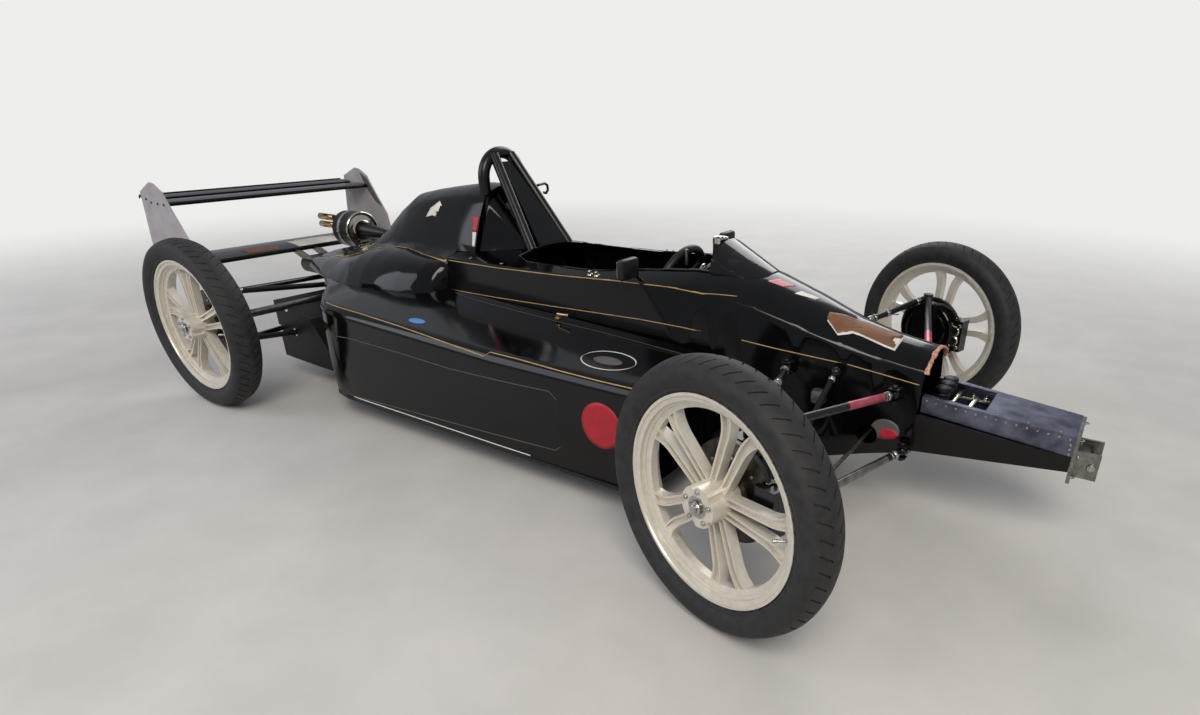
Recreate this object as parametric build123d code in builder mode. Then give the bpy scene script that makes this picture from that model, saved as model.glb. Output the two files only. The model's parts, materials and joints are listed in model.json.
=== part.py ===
from build123d import *

import os
from math import cos, degrees, radians, sin

# Open wheel racing car, in millimetres: +X forward, +Y to the driver's left, +Z up.
# The origin lies on the ground below the middle of the car's bounding box.
os.makedirs("parts", exist_ok=True)

# Running gear, all four wheels alike
wheelbase = 2390
front_axle_x = 1310
rear_axle_x = front_axle_x - wheelbase
front_track = 1676
rear_track = 1552
tyre_radius = 329
tyre_width = 110
rim_lip_radius = 253
rim_seat_radius = 241
rim_well_radius = 224
rim_skin = 10
rim_step = 7
rim_width = 64
flange_thickness = 6
axle_z = tyre_radius

# Spokes: five pairs of channelled bars, each pair spreading like a fork where it meets the rim
spoke_pairs = 5
bar_start = 38
bar_spread = [(bar_start, 7, 27), (150, 14, 37), (188, 19, 47), (216, 29, 66)]
bar_depth = 28
channel_depth = 9
channel_edge = 5
hub_radius = 50
hub_inboard = 30
hub_outboard = 60
hub_flutes = 5
hub_flute_radius = 13
axle_radius = 22
axle_clearance = 0.4
axle_reach = 36

# Brakes
disc_radius = 126
disc_thickness = 12
disc_offset = 52
disc_bell_radius = 60
disc_bell_wall = 8
backplate_radius = 108
backplate_thickness = 8
backplate_offset = 74
caliper_clearance = 5

# Steering
kingpin_offset = 104
steering_rest_deg = -15.3
steering_arm_length = 95
steering_arm_z = 268
arm_pad_radius = 17
arm_thickness = 12
arm_radius = 11
rack_x = front_axle_x + steering_arm_length
tie_rod_radius = 6
rod_seam = 0.3
wheel_rim_radius = 135
wheel_grip_radius = 14
steering_wheel_x = 640
steering_wheel_z = 560
column_radius = 10
column_end_x = 1370
column_end_z = 306

# Bodywork
body_rear_x = -230
nose_cut_x = 1528
joint_rear_z = 440
joint_front_z = 335
tub_wall = 24
skin = 6
seam = 0.3
cockpit_rear_x = 75
cockpit_front_x = 830
cockpit_half_width = 205
cockpit_front_half_width = 120
pan_x = 1930
pan_half_width = 92
pan_bottom_z = 252
pan_top_z = 292
floor_z = 90
floor_thickness = 12
floor_rear_x = -905
pod_outer = 600
pod_inner = 262
pod_inner_wall = 18
pod_front_x = 905
pod_corner = 40
pod_skin = 6

tie_rod_end_half = 7
tie_rod_z = steering_arm_z - arm_thickness / 2 - rod_seam - tie_rod_end_half
tie_rod_port = 30
kingpin_y = front_track / 2 - kingpin_offset
rear_upright_inset = 104
rear_upright_y = rear_track / 2 - rear_upright_inset
upright_half = 22
rear_ball_y = rear_upright_y - upright_half - 15.3
rear_low_z = 232
rear_high_z = 430
crash_sheet = 3
crash_half_rear = 104
crash_half_front = 86
crash_top_rear_z = 384
crash_top_front_z = 352
crash_hole_front_x = 1700
screen_front_x = 1000
screen_rear = (500, 150, 560, 150, 118, 690, 736)
screen_front = (500, 120, 560, 120, 92, 618, 652)
screen_thickness = 3
nose_hole_across = 132
nose_hole_up = 110
nose_hole_mid_z = 283
nose_hole_radius = 4.25
dash_x = 800
dash_thickness = 12
dash_pod_radius = 25
hoop_x = -160
hoop_half = 92
hoop_foot_z = 430.3
hoop_bulkhead_half = 24
hoop_top_z = 955
hoop_bend = 88
hoop_radius = 21
brace_foot_x = 64
ball_radius = 15
upright_half_height = 115
upright_width = 86
ball_height = 26
low_ball_z = 196
high_ball_z = 462
brace_foot_half = 100
brace_foot_z = 663
brace_radius = 18
brace_top_x = hoop_x + 12
brace_top_half = 42
brace_top_z = hoop_top_z - 6
silencer_y = 170
silencer_z = 540
silencer_radius = 86
silencer_rear_x = -1470
silencer_front_x = -1355
cone_radius = 46
pipe_radius = 20
pipe_rear_x = -1165
pipe_end = (-900, silencer_y - 21, silencer_z - 64)
tip_x = -1690
tip_radius = 14
radiator_x = 500
radiator_y = 435
radiator_width = 229.6
radiator_height = 270
radiator_depth = 45
radiator_z = floor_z + floor_thickness + pod_skin + 2 * seam + radiator_height / 2
radiator_turn = 25
mirror_x = 655
mirror_z = 672
mirror_inner = 262
mirror_outer = 350
mirror_depth = 28
mirror_half_height = 32
mirror_stalk_radius = 6
wing_half_span = 507
plate_thickness = 5
spoke_turns = {("front", "right"): 70, ("front", "left"): 60, ("rear", "right"): 18, ("rear", "left"): 50}

# Seat seen from the side: outer shell and the hollow that takes the driver
seat_half = 185
seat_wall = 12
seat_line = [(-134, 110), (-134, 560), (-60, 560), (160, 300), (560, 190), (560, 110)]
seat_hollow = [(-116, 570), (-50, 570), (150, 330), (570, 210), (570, 149), (90, 149)]

# Rear tunnels under the floor, seen from the side
tunnel_y = 308
tunnel_half = 138
tunnel_wall = 6
tunnel_wall_y = tunnel_y + tunnel_half - tunnel_wall / 2
tunnel_top = [(-700, 102), (-790, 150), (-905, 298), (-1155, 345)]
tunnel_roof = [(-700, 90)] + tunnel_top + [(-1155, 337), (-908, 291), (-794, 145), (-712, 90)]
tunnel_side = [(-700, 90)] + tunnel_top + [(-1155, 98), (-905, 90)]

# Inboard ends of the arms: x, y, z
front_low_mounts = [(front_axle_x + 205, 176, 236), (front_axle_x - 180, 248, 190)]
front_high_mounts = [(front_axle_x + 160, 176, 400), (front_axle_x - 150, 222, 432)]
push_top = (front_axle_x - 10, 190, 436)
push_foot = (front_axle_x, 640, 205)
push_cross = [(front_axle_x - 35, 640, 195), (front_axle_x + 34, 640, 203)]
push_radius = 9
engine_half = 160
engine_rear_x = -770
bell_rear_x = -960
gearbox_rear_x = -1320
gearbox_half = 100
drive_flange_half = 150
shaft_radius = 16
rear_mount_y = gearbox_half + ball_radius + seam
rear_low_mounts = [(rear_axle_x + 105, rear_mount_y, 200), (rear_axle_x - 190, rear_mount_y, 200)]
rear_high_mounts = [(rear_axle_x + 90, rear_mount_y, 385), (rear_axle_x - 150, rear_mount_y, 385)]

# Wing elements: nose x, nose z, chord, thickness, nose-down pitch in degrees
wing_table = [(-1600, 450, 210, 24, 5), (-1738, 700, 165, 20, 2), (-1888, 712, 92, 10, 6)]

# Wing bracket cheek seen from the side
tail_radius = 40
tail_end_x = -1600
tail_z = 376
bracket_base_z = tail_z + tail_radius + seam
bracket_side = [(-1560, bracket_base_z), (-1440, bracket_base_z), (-1600, 470), (-1700, 470)]

# End plate corners seen from the side
plate_corners = [(-1596, 425), (-1594, 480), (-1610, 565), (-1688, 680), (-1735, 755), (-1795, 786),
                 (-1832, 790), (-1940, 745), (-1985, 425)]

# Engine cover across the car: x, then half width and height of its base, flank, shoulder,
# dome foot and dome top, then the crown's height
cover_stations = [
    (body_rear_x - seam, 258, 470, 256, 530, 246, 592, 196, 618, 120, 806, 845),
    (-258, 322, 466, 305, 524, 236, 588, 192, 616, 118, 802, 842),
    (-310, 360, 462, 340, 522, 222, 584, 186, 614, 116, 796, 835),
    (-400, 386, 457, 362, 520, 208, 586, 176, 612, 112, 784, 822),
    (-500, 396, 452, 368, 520, 204, 598, 168, 614, 106, 766, 806),
    (-600, 396, 449, 364, 518, 198, 596, 158, 608, 96, 742, 786),
    (-700, 382, 447, 352, 510, 194, 578, 148, 592, 84, 690, 730),
    (-800, 358, 445, 326, 497, 186, 552, 138, 568, 70, 628, 660),
    (-920, 322, 443, 290, 480, 168, 524, 120, 540, 52, 564, 580),
    (-1080, 262, 437, 240, 464, 138, 496, 96, 508, 42, 520, 530),
    (-1330, 150, 425, 142, 438, 95, 456, 60, 464, 30, 469, 474),
]
dome_bulge = 7
cover_lap = 5
dome_base_z = 560
spine_front_x = hoop_x + hoop_radius + 2

# Headrest fairing across the car, columns as for the body stations
fairing_stations = [
    (spine_front_x + seam, 560, 190, 600, 186, 104, 780, 822),
    (-30, 560, 165, 600, 160, 86, 690, 722),
    (74, 560, 150, 600, 145, 84, 618, 642),
]

# Sidepod stations: x, outer half width, edge z, z beside the body
pod_stations = [
    (pod_front_x, 592, 424, 440),
    (330, pod_outer, 424, 466),
    (-380, pod_outer, 446, 488),
    (-510, 597, 450, 484),
    (-600, 566, 451, 478),
    (-740, 467, 452, 470),
    (-850, 378, 452, 462),
    (-935, 336, 448, 454),
]
# What is open behind the sidepod's wall, seen from the side
pod_tail_cut = [(-566, 60), (-600, 200), (-625, 337), (-645, 408), (-1000, 425), (-1000, 60)]


def column_z_at(x):
    """Height of the steering column's axis at x."""
    return steering_wheel_z + (column_end_z - steering_wheel_z) * (x - steering_wheel_x) / (
        column_end_x - steering_wheel_x)


def yz_plane(x):
    """Upright plane across the car at x: its own x runs to the left, its own y runs up."""
    return Plane(origin=(x, 0, 0), x_dir=(0, 1, 0), z_dir=(1, 0, 0))


def xz_plane(y):
    """Upright plane along the car at y: its own x runs forward, its own y runs up."""
    return Plane(origin=(0, y, 0), x_dir=(1, 0, 0), z_dir=(0, -1, 0))


def rod(start, end, radius):
    """Round bar from one point to another."""
    run = Vector(*end) - Vector(*start)
    with BuildSketch(Plane(origin=start, z_dir=run)) as disc:
        Circle(radius)
    extrude(disc.sketch, amount=run.length)


def save(piece, label):
    """Label a finished piece and write it."""
    piece.part.label = label
    export_step(piece.part, f"parts/{label}.step")


def hull_section(x, low_z, low_half, side_z, side_half, top_half, shoulder_z, crown_z, inset, open_below=0):
    """Closed outline across the body: flat floor, leaning sides, one arc over the top."""
    base_z = low_z - open_below if open_below else low_z + inset
    with BuildSketch(yz_plane(x)) as outline:
        with BuildLine():
            Polyline(
                (-(top_half - inset), shoulder_z - inset / 2),
                (-(side_half - inset), side_z),
                (-(low_half - inset), base_z),
                (low_half - inset, base_z),
                (side_half - inset, side_z),
                (top_half - inset, shoulder_z - inset / 2),
            )
            ThreePointArc(
                (top_half - inset, shoulder_z - inset / 2),
                (0, crown_z - inset),
                (-(top_half - inset), shoulder_z - inset / 2),
            )
        make_face()
    return outline.sketch


# Body stations: x, floor z, floor half, side z, side half, top half, shoulder z, crown z
body_stations = [
    (body_rear_x, 92, 245, 150, 270, 250, 596, 640),
    (300, 92, 245, 150, 270, 248, 606, 645),
    (640, 92, 236, 154, 264, 232, 612, 668),
    (800, 92, 228, 160, 255, 212, 612, 678),
    (905, 93, 217, 164, 245, 194, 597, 669),
    (1010, 98, 205, 172, 232, 172, 572, 646),
    (1150, 122, 183, 198, 211, 150, 531, 601),
    (1290, 153, 162, 228, 188, 129, 492, 548),
    (1400, 184, 144, 253, 168, 114, 466, 522),
    (nose_cut_x, 216, 128, 275, 152, 104, 448, 502),
]


def body_form(inset):
    """The whole body as one solid, drawn in by inset."""
    return loft([hull_section(*row, inset) for row in body_stations], ruled=True, mode=Mode.PRIVATE)


joint_slope = degrees((joint_rear_z - joint_front_z) / (nose_cut_x - body_rear_x))
joint_plane = Plane(origin=(body_rear_x, 0, joint_rear_z), x_dir=(0, 1, 0),
                    z_dir=(sin(radians(joint_slope)), 0, cos(radians(joint_slope))))


def box(low, high):
    """Box between two opposite corners."""
    size = [b - a for a, b in zip(low, high)]
    middle = [(a + b) / 2 for a, b in zip(low, high)]
    with Locations(Vector(*middle)):
        Box(*size)


def cut_box(low, high):
    """Box between two opposite corners, cut away."""
    size = [b - a for a, b in zip(low, high)]
    middle = [(a + b) / 2 for a, b in zip(low, high)]
    with Locations(Vector(*middle)):
        Box(*size, mode=Mode.SUBTRACT)


def bore(start, end, radius):
    """Round hole from one point to another."""
    run = Vector(*end) - Vector(*start)
    with BuildSketch(Plane(origin=start, z_dir=run)) as disc:
        Circle(radius)
    extrude(disc.sketch, amount=run.length, mode=Mode.SUBTRACT)


def tray_section(x, low_z, high_z, half):
    """Rectangle across the car at x."""
    with BuildSketch(yz_plane(x)) as outline:
        with Locations((0, (low_z + high_z) / 2)):
            Rectangle(2 * half, high_z - low_z)
    return outline.sketch


def side_profile(y, points):
    """Closed outline seen from the side, on the plane at y."""
    with BuildSketch(xz_plane(y)) as outline:
        with BuildLine():
            Polyline(*points, close=True)
        make_face()
    return outline.sketch


def cockpit_outline(z, grow=0):
    """Cockpit opening seen from above: square shoulders behind, round ahead of the dash."""
    with BuildSketch(Plane.XY.offset(z)) as outline:
        with BuildLine():
            rear = (cockpit_rear_x - grow, cockpit_half_width - 30 + grow)
            front = (cockpit_front_x + grow, cockpit_front_half_width + grow)
            Polyline((rear[0], -rear[1]), (rear[0], rear[1]), (rear[0] + 60, cockpit_half_width + grow),
                     (420, cockpit_half_width + grow), front, (front[0], -front[1]),
                     (420, -cockpit_half_width - grow), (rear[0] + 60, -cockpit_half_width - grow),
                     (rear[0], -rear[1]))
        make_face()
    return outline.sketch


def ball(centre, radius):
    """Round rod end."""
    with Locations(Vector(*centre)):
        Sphere(radius)


def drum(plane, radius, length):
    """Cylinder that starts on a plane and rises along its z."""
    with BuildSketch(plane) as disc:
        Circle(radius)
    extrude(disc.sketch, amount=length)


# The whole body's outer form, a seam larger, to cut what sits against it
body_clearance = body_form(-seam)

# The lower tub holds the driver and runs forward as a shallow pan under the crash box
with BuildPart() as tub:
    add(body_form(0))
    add(body_form(tub_wall), mode=Mode.SUBTRACT)
    split(bisect_by=joint_plane, keep=Keep.BOTTOM)
    box((hoop_x - hoop_bulkhead_half, -244, 100), (hoop_x + hoop_bulkhead_half, 244, hoop_foot_z - seam))
    for side in (-1, 1):
        for x, y, z in front_low_mounts + front_high_mounts:
            inner, outer = sorted((side * (y - ball_radius - seam - 50), side * (y - ball_radius - seam)))
            if z < joint_rear_z - 80:
                box((x - 13, inner, z - 13), (x + 13, outer, z + 13))
    loft([tray_section(nose_cut_x, 220, joint_front_z - 2, 126),
          tray_section(pan_x, pan_bottom_z, pan_top_z, pan_half_width)])
    bore((rack_x, -260, tie_rod_z), (rack_x, 260, tie_rod_z), tie_rod_port)
save(tub, "tub")

# The upper panel wraps the cockpit and the nose, and ends ragged where the cone has gone
with BuildPart() as upper_body:
    add(body_form(0))
    add(body_form(skin), mode=Mode.SUBTRACT)
    split(bisect_by=joint_plane, keep=Keep.TOP)
    extrude(cockpit_outline(500), amount=400, mode=Mode.SUBTRACT)
    for side in (-1, 1):
        bore((hoop_x, side * hoop_half, 500), (hoop_x, side * hoop_half, 700), hoop_radius + 1)
        for x, y, z in front_high_mounts + [push_top]:
            inner, outer = sorted((side * (y - ball_radius - seam - 46), side * (y - ball_radius - seam)))
            box((x - 13, inner, z - 13), (x + 13, outer, z + 13))
save(upper_body, "upper_body")


# Riveted sheet box that takes the first shock, bare because the nose cone is gone
with BuildPart() as crash_box:
    loft([tray_section(nose_cut_x + 4, joint_front_z + 1, crash_top_rear_z, crash_half_rear),
          tray_section(pan_x, pan_top_z + 1, crash_top_front_z, crash_half_front)])
    loft([tray_section(nose_cut_x + 4, joint_front_z + 1 + crash_sheet, crash_top_rear_z - crash_sheet,
                       crash_half_rear - crash_sheet),
          tray_section(pan_x - crash_sheet, pan_top_z + 1 + crash_sheet, crash_top_front_z - crash_sheet,
                       crash_half_front - crash_sheet)], mode=Mode.SUBTRACT)
    cut_box((nose_cut_x, -crash_half_rear + 25, 360), (crash_hole_front_x, crash_half_rear - 25, 420))
save(crash_box, "crash_box")

# Nose mount: a plate across the front with two forked lugs, and four holes for the nose cone's bolts
with BuildPart() as nose_mount:
    box((pan_x + seam, -80, 214), (pan_x + 10, 80, 352))
    box((pan_x + 10, -54, 226), (pan_x + 68, -44, 300))
    box((pan_x + 10, 44, 226), (pan_x + 68, 54, 300))
    rod((pan_x + 50, -54, 262), (pan_x + 50, 54, 262), 8)
    cut_box((pan_x - 5, -34, 250), (pan_x + 20, 34, 320))
    for y in (-nose_hole_across / 2, nose_hole_across / 2):
        for z in (nose_hole_mid_z - nose_hole_up / 2, nose_hole_mid_z + nose_hole_up / 2):
            bore((pan_x - 5, y, z), (pan_x + 20, y, z), nose_hole_radius)
save(nose_mount, "nose_mount")

# Low tinted windscreen wrapped round the front of the cockpit
with BuildPart() as windscreen:
    loft([hull_section(cockpit_front_x + 6, *screen_rear, 0),
          hull_section(screen_front_x, *screen_front, 0)])
    loft([hull_section(cockpit_front_x + 5, *screen_rear, screen_thickness),
          hull_section(screen_front_x + 1, *screen_front, screen_thickness)], mode=Mode.SUBTRACT)
    add(body_clearance, mode=Mode.SUBTRACT)
save(windscreen, "windscreen")

# Dash panel and its round pod, with the steering column's bearing
with BuildPart() as dash:
    extrude(hull_section(dash_x, 470, 240, 500, 240, 220, 620, 700, 0), amount=dash_thickness)
    add(body_form(skin + seam), mode=Mode.INTERSECT)
    bore((dash_x - 20, 0, column_z_at(dash_x - 20)), (dash_x + 40, 0, column_z_at(dash_x + 40)),
         column_radius + seam)
    rod((dash_x + 2, 0, 640), (dash_x + 2, 0, 735), dash_pod_radius)
save(dash, "dash")

# Moulded seat: back, pan and side bolsters
with BuildPart() as seat:
    extrude(side_profile(-seat_half, seat_line), amount=-2 * seat_half)
    extrude(side_profile(seat_wall - seat_half, seat_hollow), amount=2 * (seat_wall - seat_half),
            mode=Mode.SUBTRACT)
    add(body_form(tub_wall + seam), mode=Mode.INTERSECT)
save(seat, "seat")

# Headrest fairing between the roll hoop's braces, spreading to the cockpit's shoulders
with BuildPart() as headrest:
    with BuildSketch(Plane.XY.offset(600)) as foot:
        with Locations(((hoop_x + 24 + 110) / 2, 0)):
            Rectangle(110 - hoop_x - 24, 164)
    with BuildSketch(Plane.XY.offset(925)) as tip:
        with Locations(((hoop_x + 24 - 130) / 2, 0)):
            Rectangle(-130 - hoop_x - 24, 46)
    loft([foot.sketch, tip.sketch])
    loft([hull_section(*row, 0) for row in fairing_stations])
    add(body_clearance, mode=Mode.SUBTRACT)
    for side in (-1, 1):
        brace_end = (brace_foot_x, side * brace_foot_half, brace_foot_z - 30)
        bore((brace_top_x, side * brace_top_half, brace_top_z), brace_end, brace_radius + seam)
    cut_box((cockpit_rear_x, -220, 500), (200, 220, 700))
save(headrest, "headrest")

# Roll hoop: an upside down U with two braces that run forward to the cockpit shoulders
with BuildPart() as roll_hoop:
    for side in (-1, 1):
        brace_end = (brace_foot_x, side * brace_foot_half, brace_foot_z - 30)
        rod((brace_top_x, side * brace_top_half, brace_top_z), brace_end, brace_radius)
    add(body_clearance, mode=Mode.SUBTRACT)
    with BuildLine(yz_plane(hoop_x)) as hoop_line:
        FilletPolyline((-hoop_half, hoop_foot_z), (-hoop_half, hoop_top_z), (hoop_half, hoop_top_z),
                       (hoop_half, hoop_foot_z), radius=hoop_bend)
    with BuildSketch(Plane(origin=(hoop_x, -hoop_half, hoop_foot_z), z_dir=(0, 0, 1))):
        Circle(hoop_radius)
    sweep()
save(roll_hoop, "roll_hoop")


def dome_edges(side, foot, top, inset):
    """One flank of the dome, drawn in by inset: a slightly bulging arc from its foot to its top."""
    foot_point = (side * (foot[0] - inset), foot[1] - inset)
    top_point = (side * (top[0] - inset), top[1] - inset / 2)
    middle = ((foot_point[0] + top_point[0]) / 2 + side * dome_bulge, (foot_point[1] + top_point[1]) / 2)
    ThreePointArc(foot_point, middle, top_point)
    return foot_point, top_point


def cover_section(row, inset, drop):
    """Cover outline across the car: bulging flanks, a shoulder, and a dome; its base is let down by drop."""
    x, *pairs, crown_z = row
    base, flank, shoulder, foot, top = zip(pairs[::2], pairs[1::2])
    with BuildSketch(yz_plane(x)) as outline:
        with BuildLine():
            tops = []
            for side in (-1, 1):
                low = (side * (base[0] - inset), base[1])
                edge = (side * (shoulder[0] - inset / 2), shoulder[1] - inset)
                Line((low[0], low[1] - drop), low)
                ThreePointArc(low, (side * (flank[0] - inset), flank[1]), edge)
                foot_point, top_point = dome_edges(side, foot, top, inset)
                Line(edge, foot_point)
                tops.append(top_point)
            ThreePointArc(tops[0], (0, crown_z - inset), tops[1])
            Line((inset - base[0], base[1] - drop), (base[0] - inset, base[1] - drop))
        make_face()
    return outline.sketch


def dome_section(x, inset):
    """The dome alone at x, as at the front of the engine cover."""
    crown_z = cover_stations[0][-1]
    foot, top = cover_stations[0][7:9], cover_stations[0][9:11]
    with BuildSketch(yz_plane(x)) as outline:
        with BuildLine():
            tops = []
            for side in (-1, 1):
                foot_point, top_point = dome_edges(side, foot, top, inset)
                Line((foot_point[0], dome_base_z), foot_point)
                tops.append(top_point)
            ThreePointArc(tops[0], (0, crown_z - inset), tops[1])
            Line((inset - foot[0], dome_base_z), (foot[0] - inset, dome_base_z))
        make_face()
    return outline.sketch


def pod_form(side, inset, overrun=0):
    """Whole form of one sidepod, drawn in by inset and run past both ends by overrun."""
    rows = [list(row) for row in pod_stations]
    rows[0][0] += overrun
    rows[-1][0] -= overrun
    return loft([pod_section(row[0], side, *row[1:], inset) for row in rows], ruled=True, mode=Mode.PRIVATE)


def pod_section(x, side, outer, edge_z, inner_z, inset):
    """Sidepod outline across the car: flat wall, round shoulder, deck rising to the body."""
    with BuildSketch(yz_plane(x)) as outline:
        with BuildLine():
            low = floor_z + floor_thickness + seam + inset
            wall = outer - inset
            corner = pod_corner - inset
            corner_z = edge_z - pod_corner
            inner = pod_inner + (pod_inner_wall if inset > 0 else 0)
            Line((side * inner, low), (side * wall, low))
            Line((side * wall, low), (side * wall, corner_z))
            bend = corner * cos(radians(45))
            ThreePointArc((side * wall, corner_z), (side * (wall - corner + bend), corner_z + bend),
                          (side * (wall - corner), edge_z - inset))
            Line((side * (wall - corner), edge_z - inset), (side * inner, inner_z - inset))
            Line((side * inner, inner_z - inset), (side * inner, low))
        make_face()
    return outline.sketch


# Sidepods, open ahead and behind, each with its radiator
for side, word in ((-1, "right"), (1, "left")):
    with BuildPart() as sidepod:
        add(pod_form(side, 0))
        add(pod_form(side, pod_skin, overrun=1), mode=Mode.SUBTRACT)
        add(body_clearance, mode=Mode.SUBTRACT)
        extrude(side_profile(side * (pod_inner - 20), pod_tail_cut), amount=-side * 400, mode=Mode.SUBTRACT)
    save(sidepod, f"sidepod_{word}")

# Engine cover: a tall dome on a wide low deck that tapers over the gearbox
with BuildPart() as engine_cover:
    loft([cover_section(row, 0, cover_lap) for row in cover_stations], ruled=True)
    loft([cover_section(row, skin, 6 * cover_lap) for row in cover_stations], ruled=True, mode=Mode.SUBTRACT)
    extrude(dome_section(body_rear_x - seam, 0), amount=spine_front_x - body_rear_x + seam)
    extrude(dome_section(body_rear_x - 2, skin), amount=spine_front_x - body_rear_x + 4, mode=Mode.SUBTRACT)
    add(body_clearance, mode=Mode.SUBTRACT)
    for side in (-1, 1):
        add(pod_form(side, -seam), mode=Mode.SUBTRACT)
        bore((hoop_x, side * hoop_half, 560), (hoop_x, side * hoop_half, 900), hoop_radius + seam)
    bore((pipe_rear_x - 2, silencer_y, silencer_z), pipe_end, pipe_radius + seam)
save(engine_cover, "engine_cover")

with BuildPart() as radiators:
    for side in (-1, 1):
        turn = radians(radiator_turn)
        with BuildSketch(Plane(origin=(radiator_x, side * radiator_y, radiator_z), x_dir=(0, 1, 0),
                               z_dir=(cos(turn), side * sin(turn), 0))) as core:
            Rectangle(radiator_width, radiator_height)
        extrude(core.sketch, amount=radiator_depth)
save(radiators, "radiators")

# Flat floor with the two tunnels that open behind
with BuildPart() as underbody:
    with BuildSketch(Plane.XY.offset(floor_z)) as plan:
        with BuildLine():
            Polyline((pod_front_x, -pod_outer), (pod_front_x, -240), (body_rear_x - 1, -240),
                     (body_rear_x - 1, 240), (pod_front_x, 240), (pod_front_x, pod_outer),
                     (-480, pod_outer), (-566, 582), (-760, tunnel_y + tunnel_half),
                     (floor_rear_x, tunnel_y + tunnel_half), (floor_rear_x, -tunnel_y - tunnel_half),
                     (-760, -tunnel_y - tunnel_half), (-566, -582), (-480, -pod_outer),
                     (pod_front_x, -pod_outer))
        make_face()
    extrude(plan.sketch, amount=floor_thickness)
    add(body_clearance, mode=Mode.SUBTRACT)
    for side in (-1, 1):
        with BuildSketch(Plane.XY.offset(floor_z - 2)) as mouth:
            with Locations((-808, side * tunnel_y)):
                Rectangle(194, 2 * tunnel_half - 2 * tunnel_wall)
        extrude(mouth.sketch, amount=30, mode=Mode.SUBTRACT)
        extrude(side_profile(side * tunnel_y - tunnel_half, tunnel_roof), amount=-2 * tunnel_half)
        extrude(side_profile(side * tunnel_wall_y - tunnel_wall / 2, tunnel_side), amount=-tunnel_wall)
        for x, y, z in rear_low_mounts:
            bore((x, side * y, z), (rear_axle_x, side * rear_ball_y, rear_low_z), 18)
        bore((rear_axle_x, side * 150, axle_z), (rear_axle_x, side * rear_ball_y, axle_z), 26)
save(underbody, "underbody")

# Engine block and the gearbox behind it
with BuildPart() as engine:
    box((engine_rear_x, -engine_half, floor_z + floor_thickness), (body_rear_x - 6, engine_half, 470))
save(engine, "engine")

with BuildPart() as gearbox:
    loft([tray_section(engine_rear_x - seam, 120, 440, 150), tray_section(bell_rear_x, 150, 400, 105)])
    box((gearbox_rear_x, -gearbox_half, 160), (bell_rear_x + 1, gearbox_half, 400))
    rod((rear_axle_x, -drive_flange_half, axle_z), (rear_axle_x, drive_flange_half, axle_z), 60)
    rod((tail_end_x, 0, tail_z), (gearbox_rear_x + 170, 0, tail_z), tail_radius)
save(gearbox, "gearbox")

# Silencer: a short can with a cone ahead and two tips behind, on the left of the gearbox
with BuildPart() as silencer:
    with BuildSketch(yz_plane(silencer_rear_x)) as can:
        with Locations((silencer_y, silencer_z)):
            Circle(silencer_radius)
    extrude(can.sketch, amount=silencer_front_x - silencer_rear_x)
    with BuildSketch(yz_plane(silencer_front_x - 1)) as wide:
        with Locations((silencer_y, silencer_z)):
            Circle(cone_radius)
    with BuildSketch(yz_plane(pipe_rear_x - 2)) as narrow:
        with Locations((silencer_y, silencer_z)):
            Circle(pipe_radius)
    loft([wide.sketch, narrow.sketch])
    rod((pipe_rear_x - 2, silencer_y, silencer_z), pipe_end, pipe_radius)
    for tip_z in (silencer_z, silencer_z + 38):
        rod((silencer_rear_x + 1, silencer_y, tip_z), (tip_x, silencer_y, tip_z + 5), tip_radius)
save(silencer, "silencer")


def wing_plane(x, z, pitch):
    """Plane of the wing's left end, its x along the chord towards the nose, tipped down in front."""
    tilt = radians(pitch)
    return Plane(origin=(x, wing_half_span, z), x_dir=(cos(tilt), 0, -sin(tilt)), z_dir=(0, -1, 0))


def wing_section(plane, chord, thickness):
    """Wing profile with a round nose at the plane's origin and its tail one chord behind."""
    nose_top = (-thickness * 0.5, thickness * 0.42)
    nose_bottom = (-thickness * 0.5, -thickness * 0.42)
    tail_top = (-chord, 1.5)
    tail_bottom = (-chord, -1.5)
    with BuildSketch(plane) as outline:
        with BuildLine():
            ThreePointArc(nose_top, (0, 0), nose_bottom)
            ThreePointArc(nose_top, (-chord * 0.45, thickness * 0.55), tail_top)
            Line(tail_top, tail_bottom)
            ThreePointArc(tail_bottom, (-chord * 0.4, -thickness * 0.6), nose_bottom)
        make_face()
    return outline.sketch


# Rear wing: lower beam, main plane and flap, between two end plates
with BuildPart() as wing_planes:
    for x, z, chord, thickness, pitch in wing_table:
        extrude(wing_section(wing_plane(x, z, pitch), chord, thickness), amount=2 * wing_half_span)
save(wing_planes, "wing_planes")

for side, word in ((-1, "right"), (1, "left")):
    with BuildPart() as end_plate:
        extrude(side_profile(side * (wing_half_span + seam), plate_corners), amount=-side * plate_thickness)
    save(end_plate, f"end_plate_{word}")

# Wing bracket from the gearbox tail to the lower beam
with BuildPart() as wing_bracket:
    for side in (-1, 1):
        extrude(side_profile(side * 50 - 4, bracket_side), amount=-8)
    box((-1560, -54, bracket_base_z), (-1450, 54, bracket_base_z + 6))
    x, z, chord, thickness, pitch = wing_table[0]
    extrude(wing_section(wing_plane(x, z, pitch), chord, thickness + 2 * seam), amount=2 * wing_half_span,
            mode=Mode.SUBTRACT)
    cut_box((-1900, -60, 452), (-1300, 60, 500))
save(wing_bracket, "wing_bracket")


def arm(mounts, side, outer):
    """Wishbone: two tubes with round ends that meet at the outer point."""
    for x, y, z in mounts:
        rod((x, side * y, z), outer, arm_radius)
        ball((x, side * y, z), ball_radius)


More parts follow.
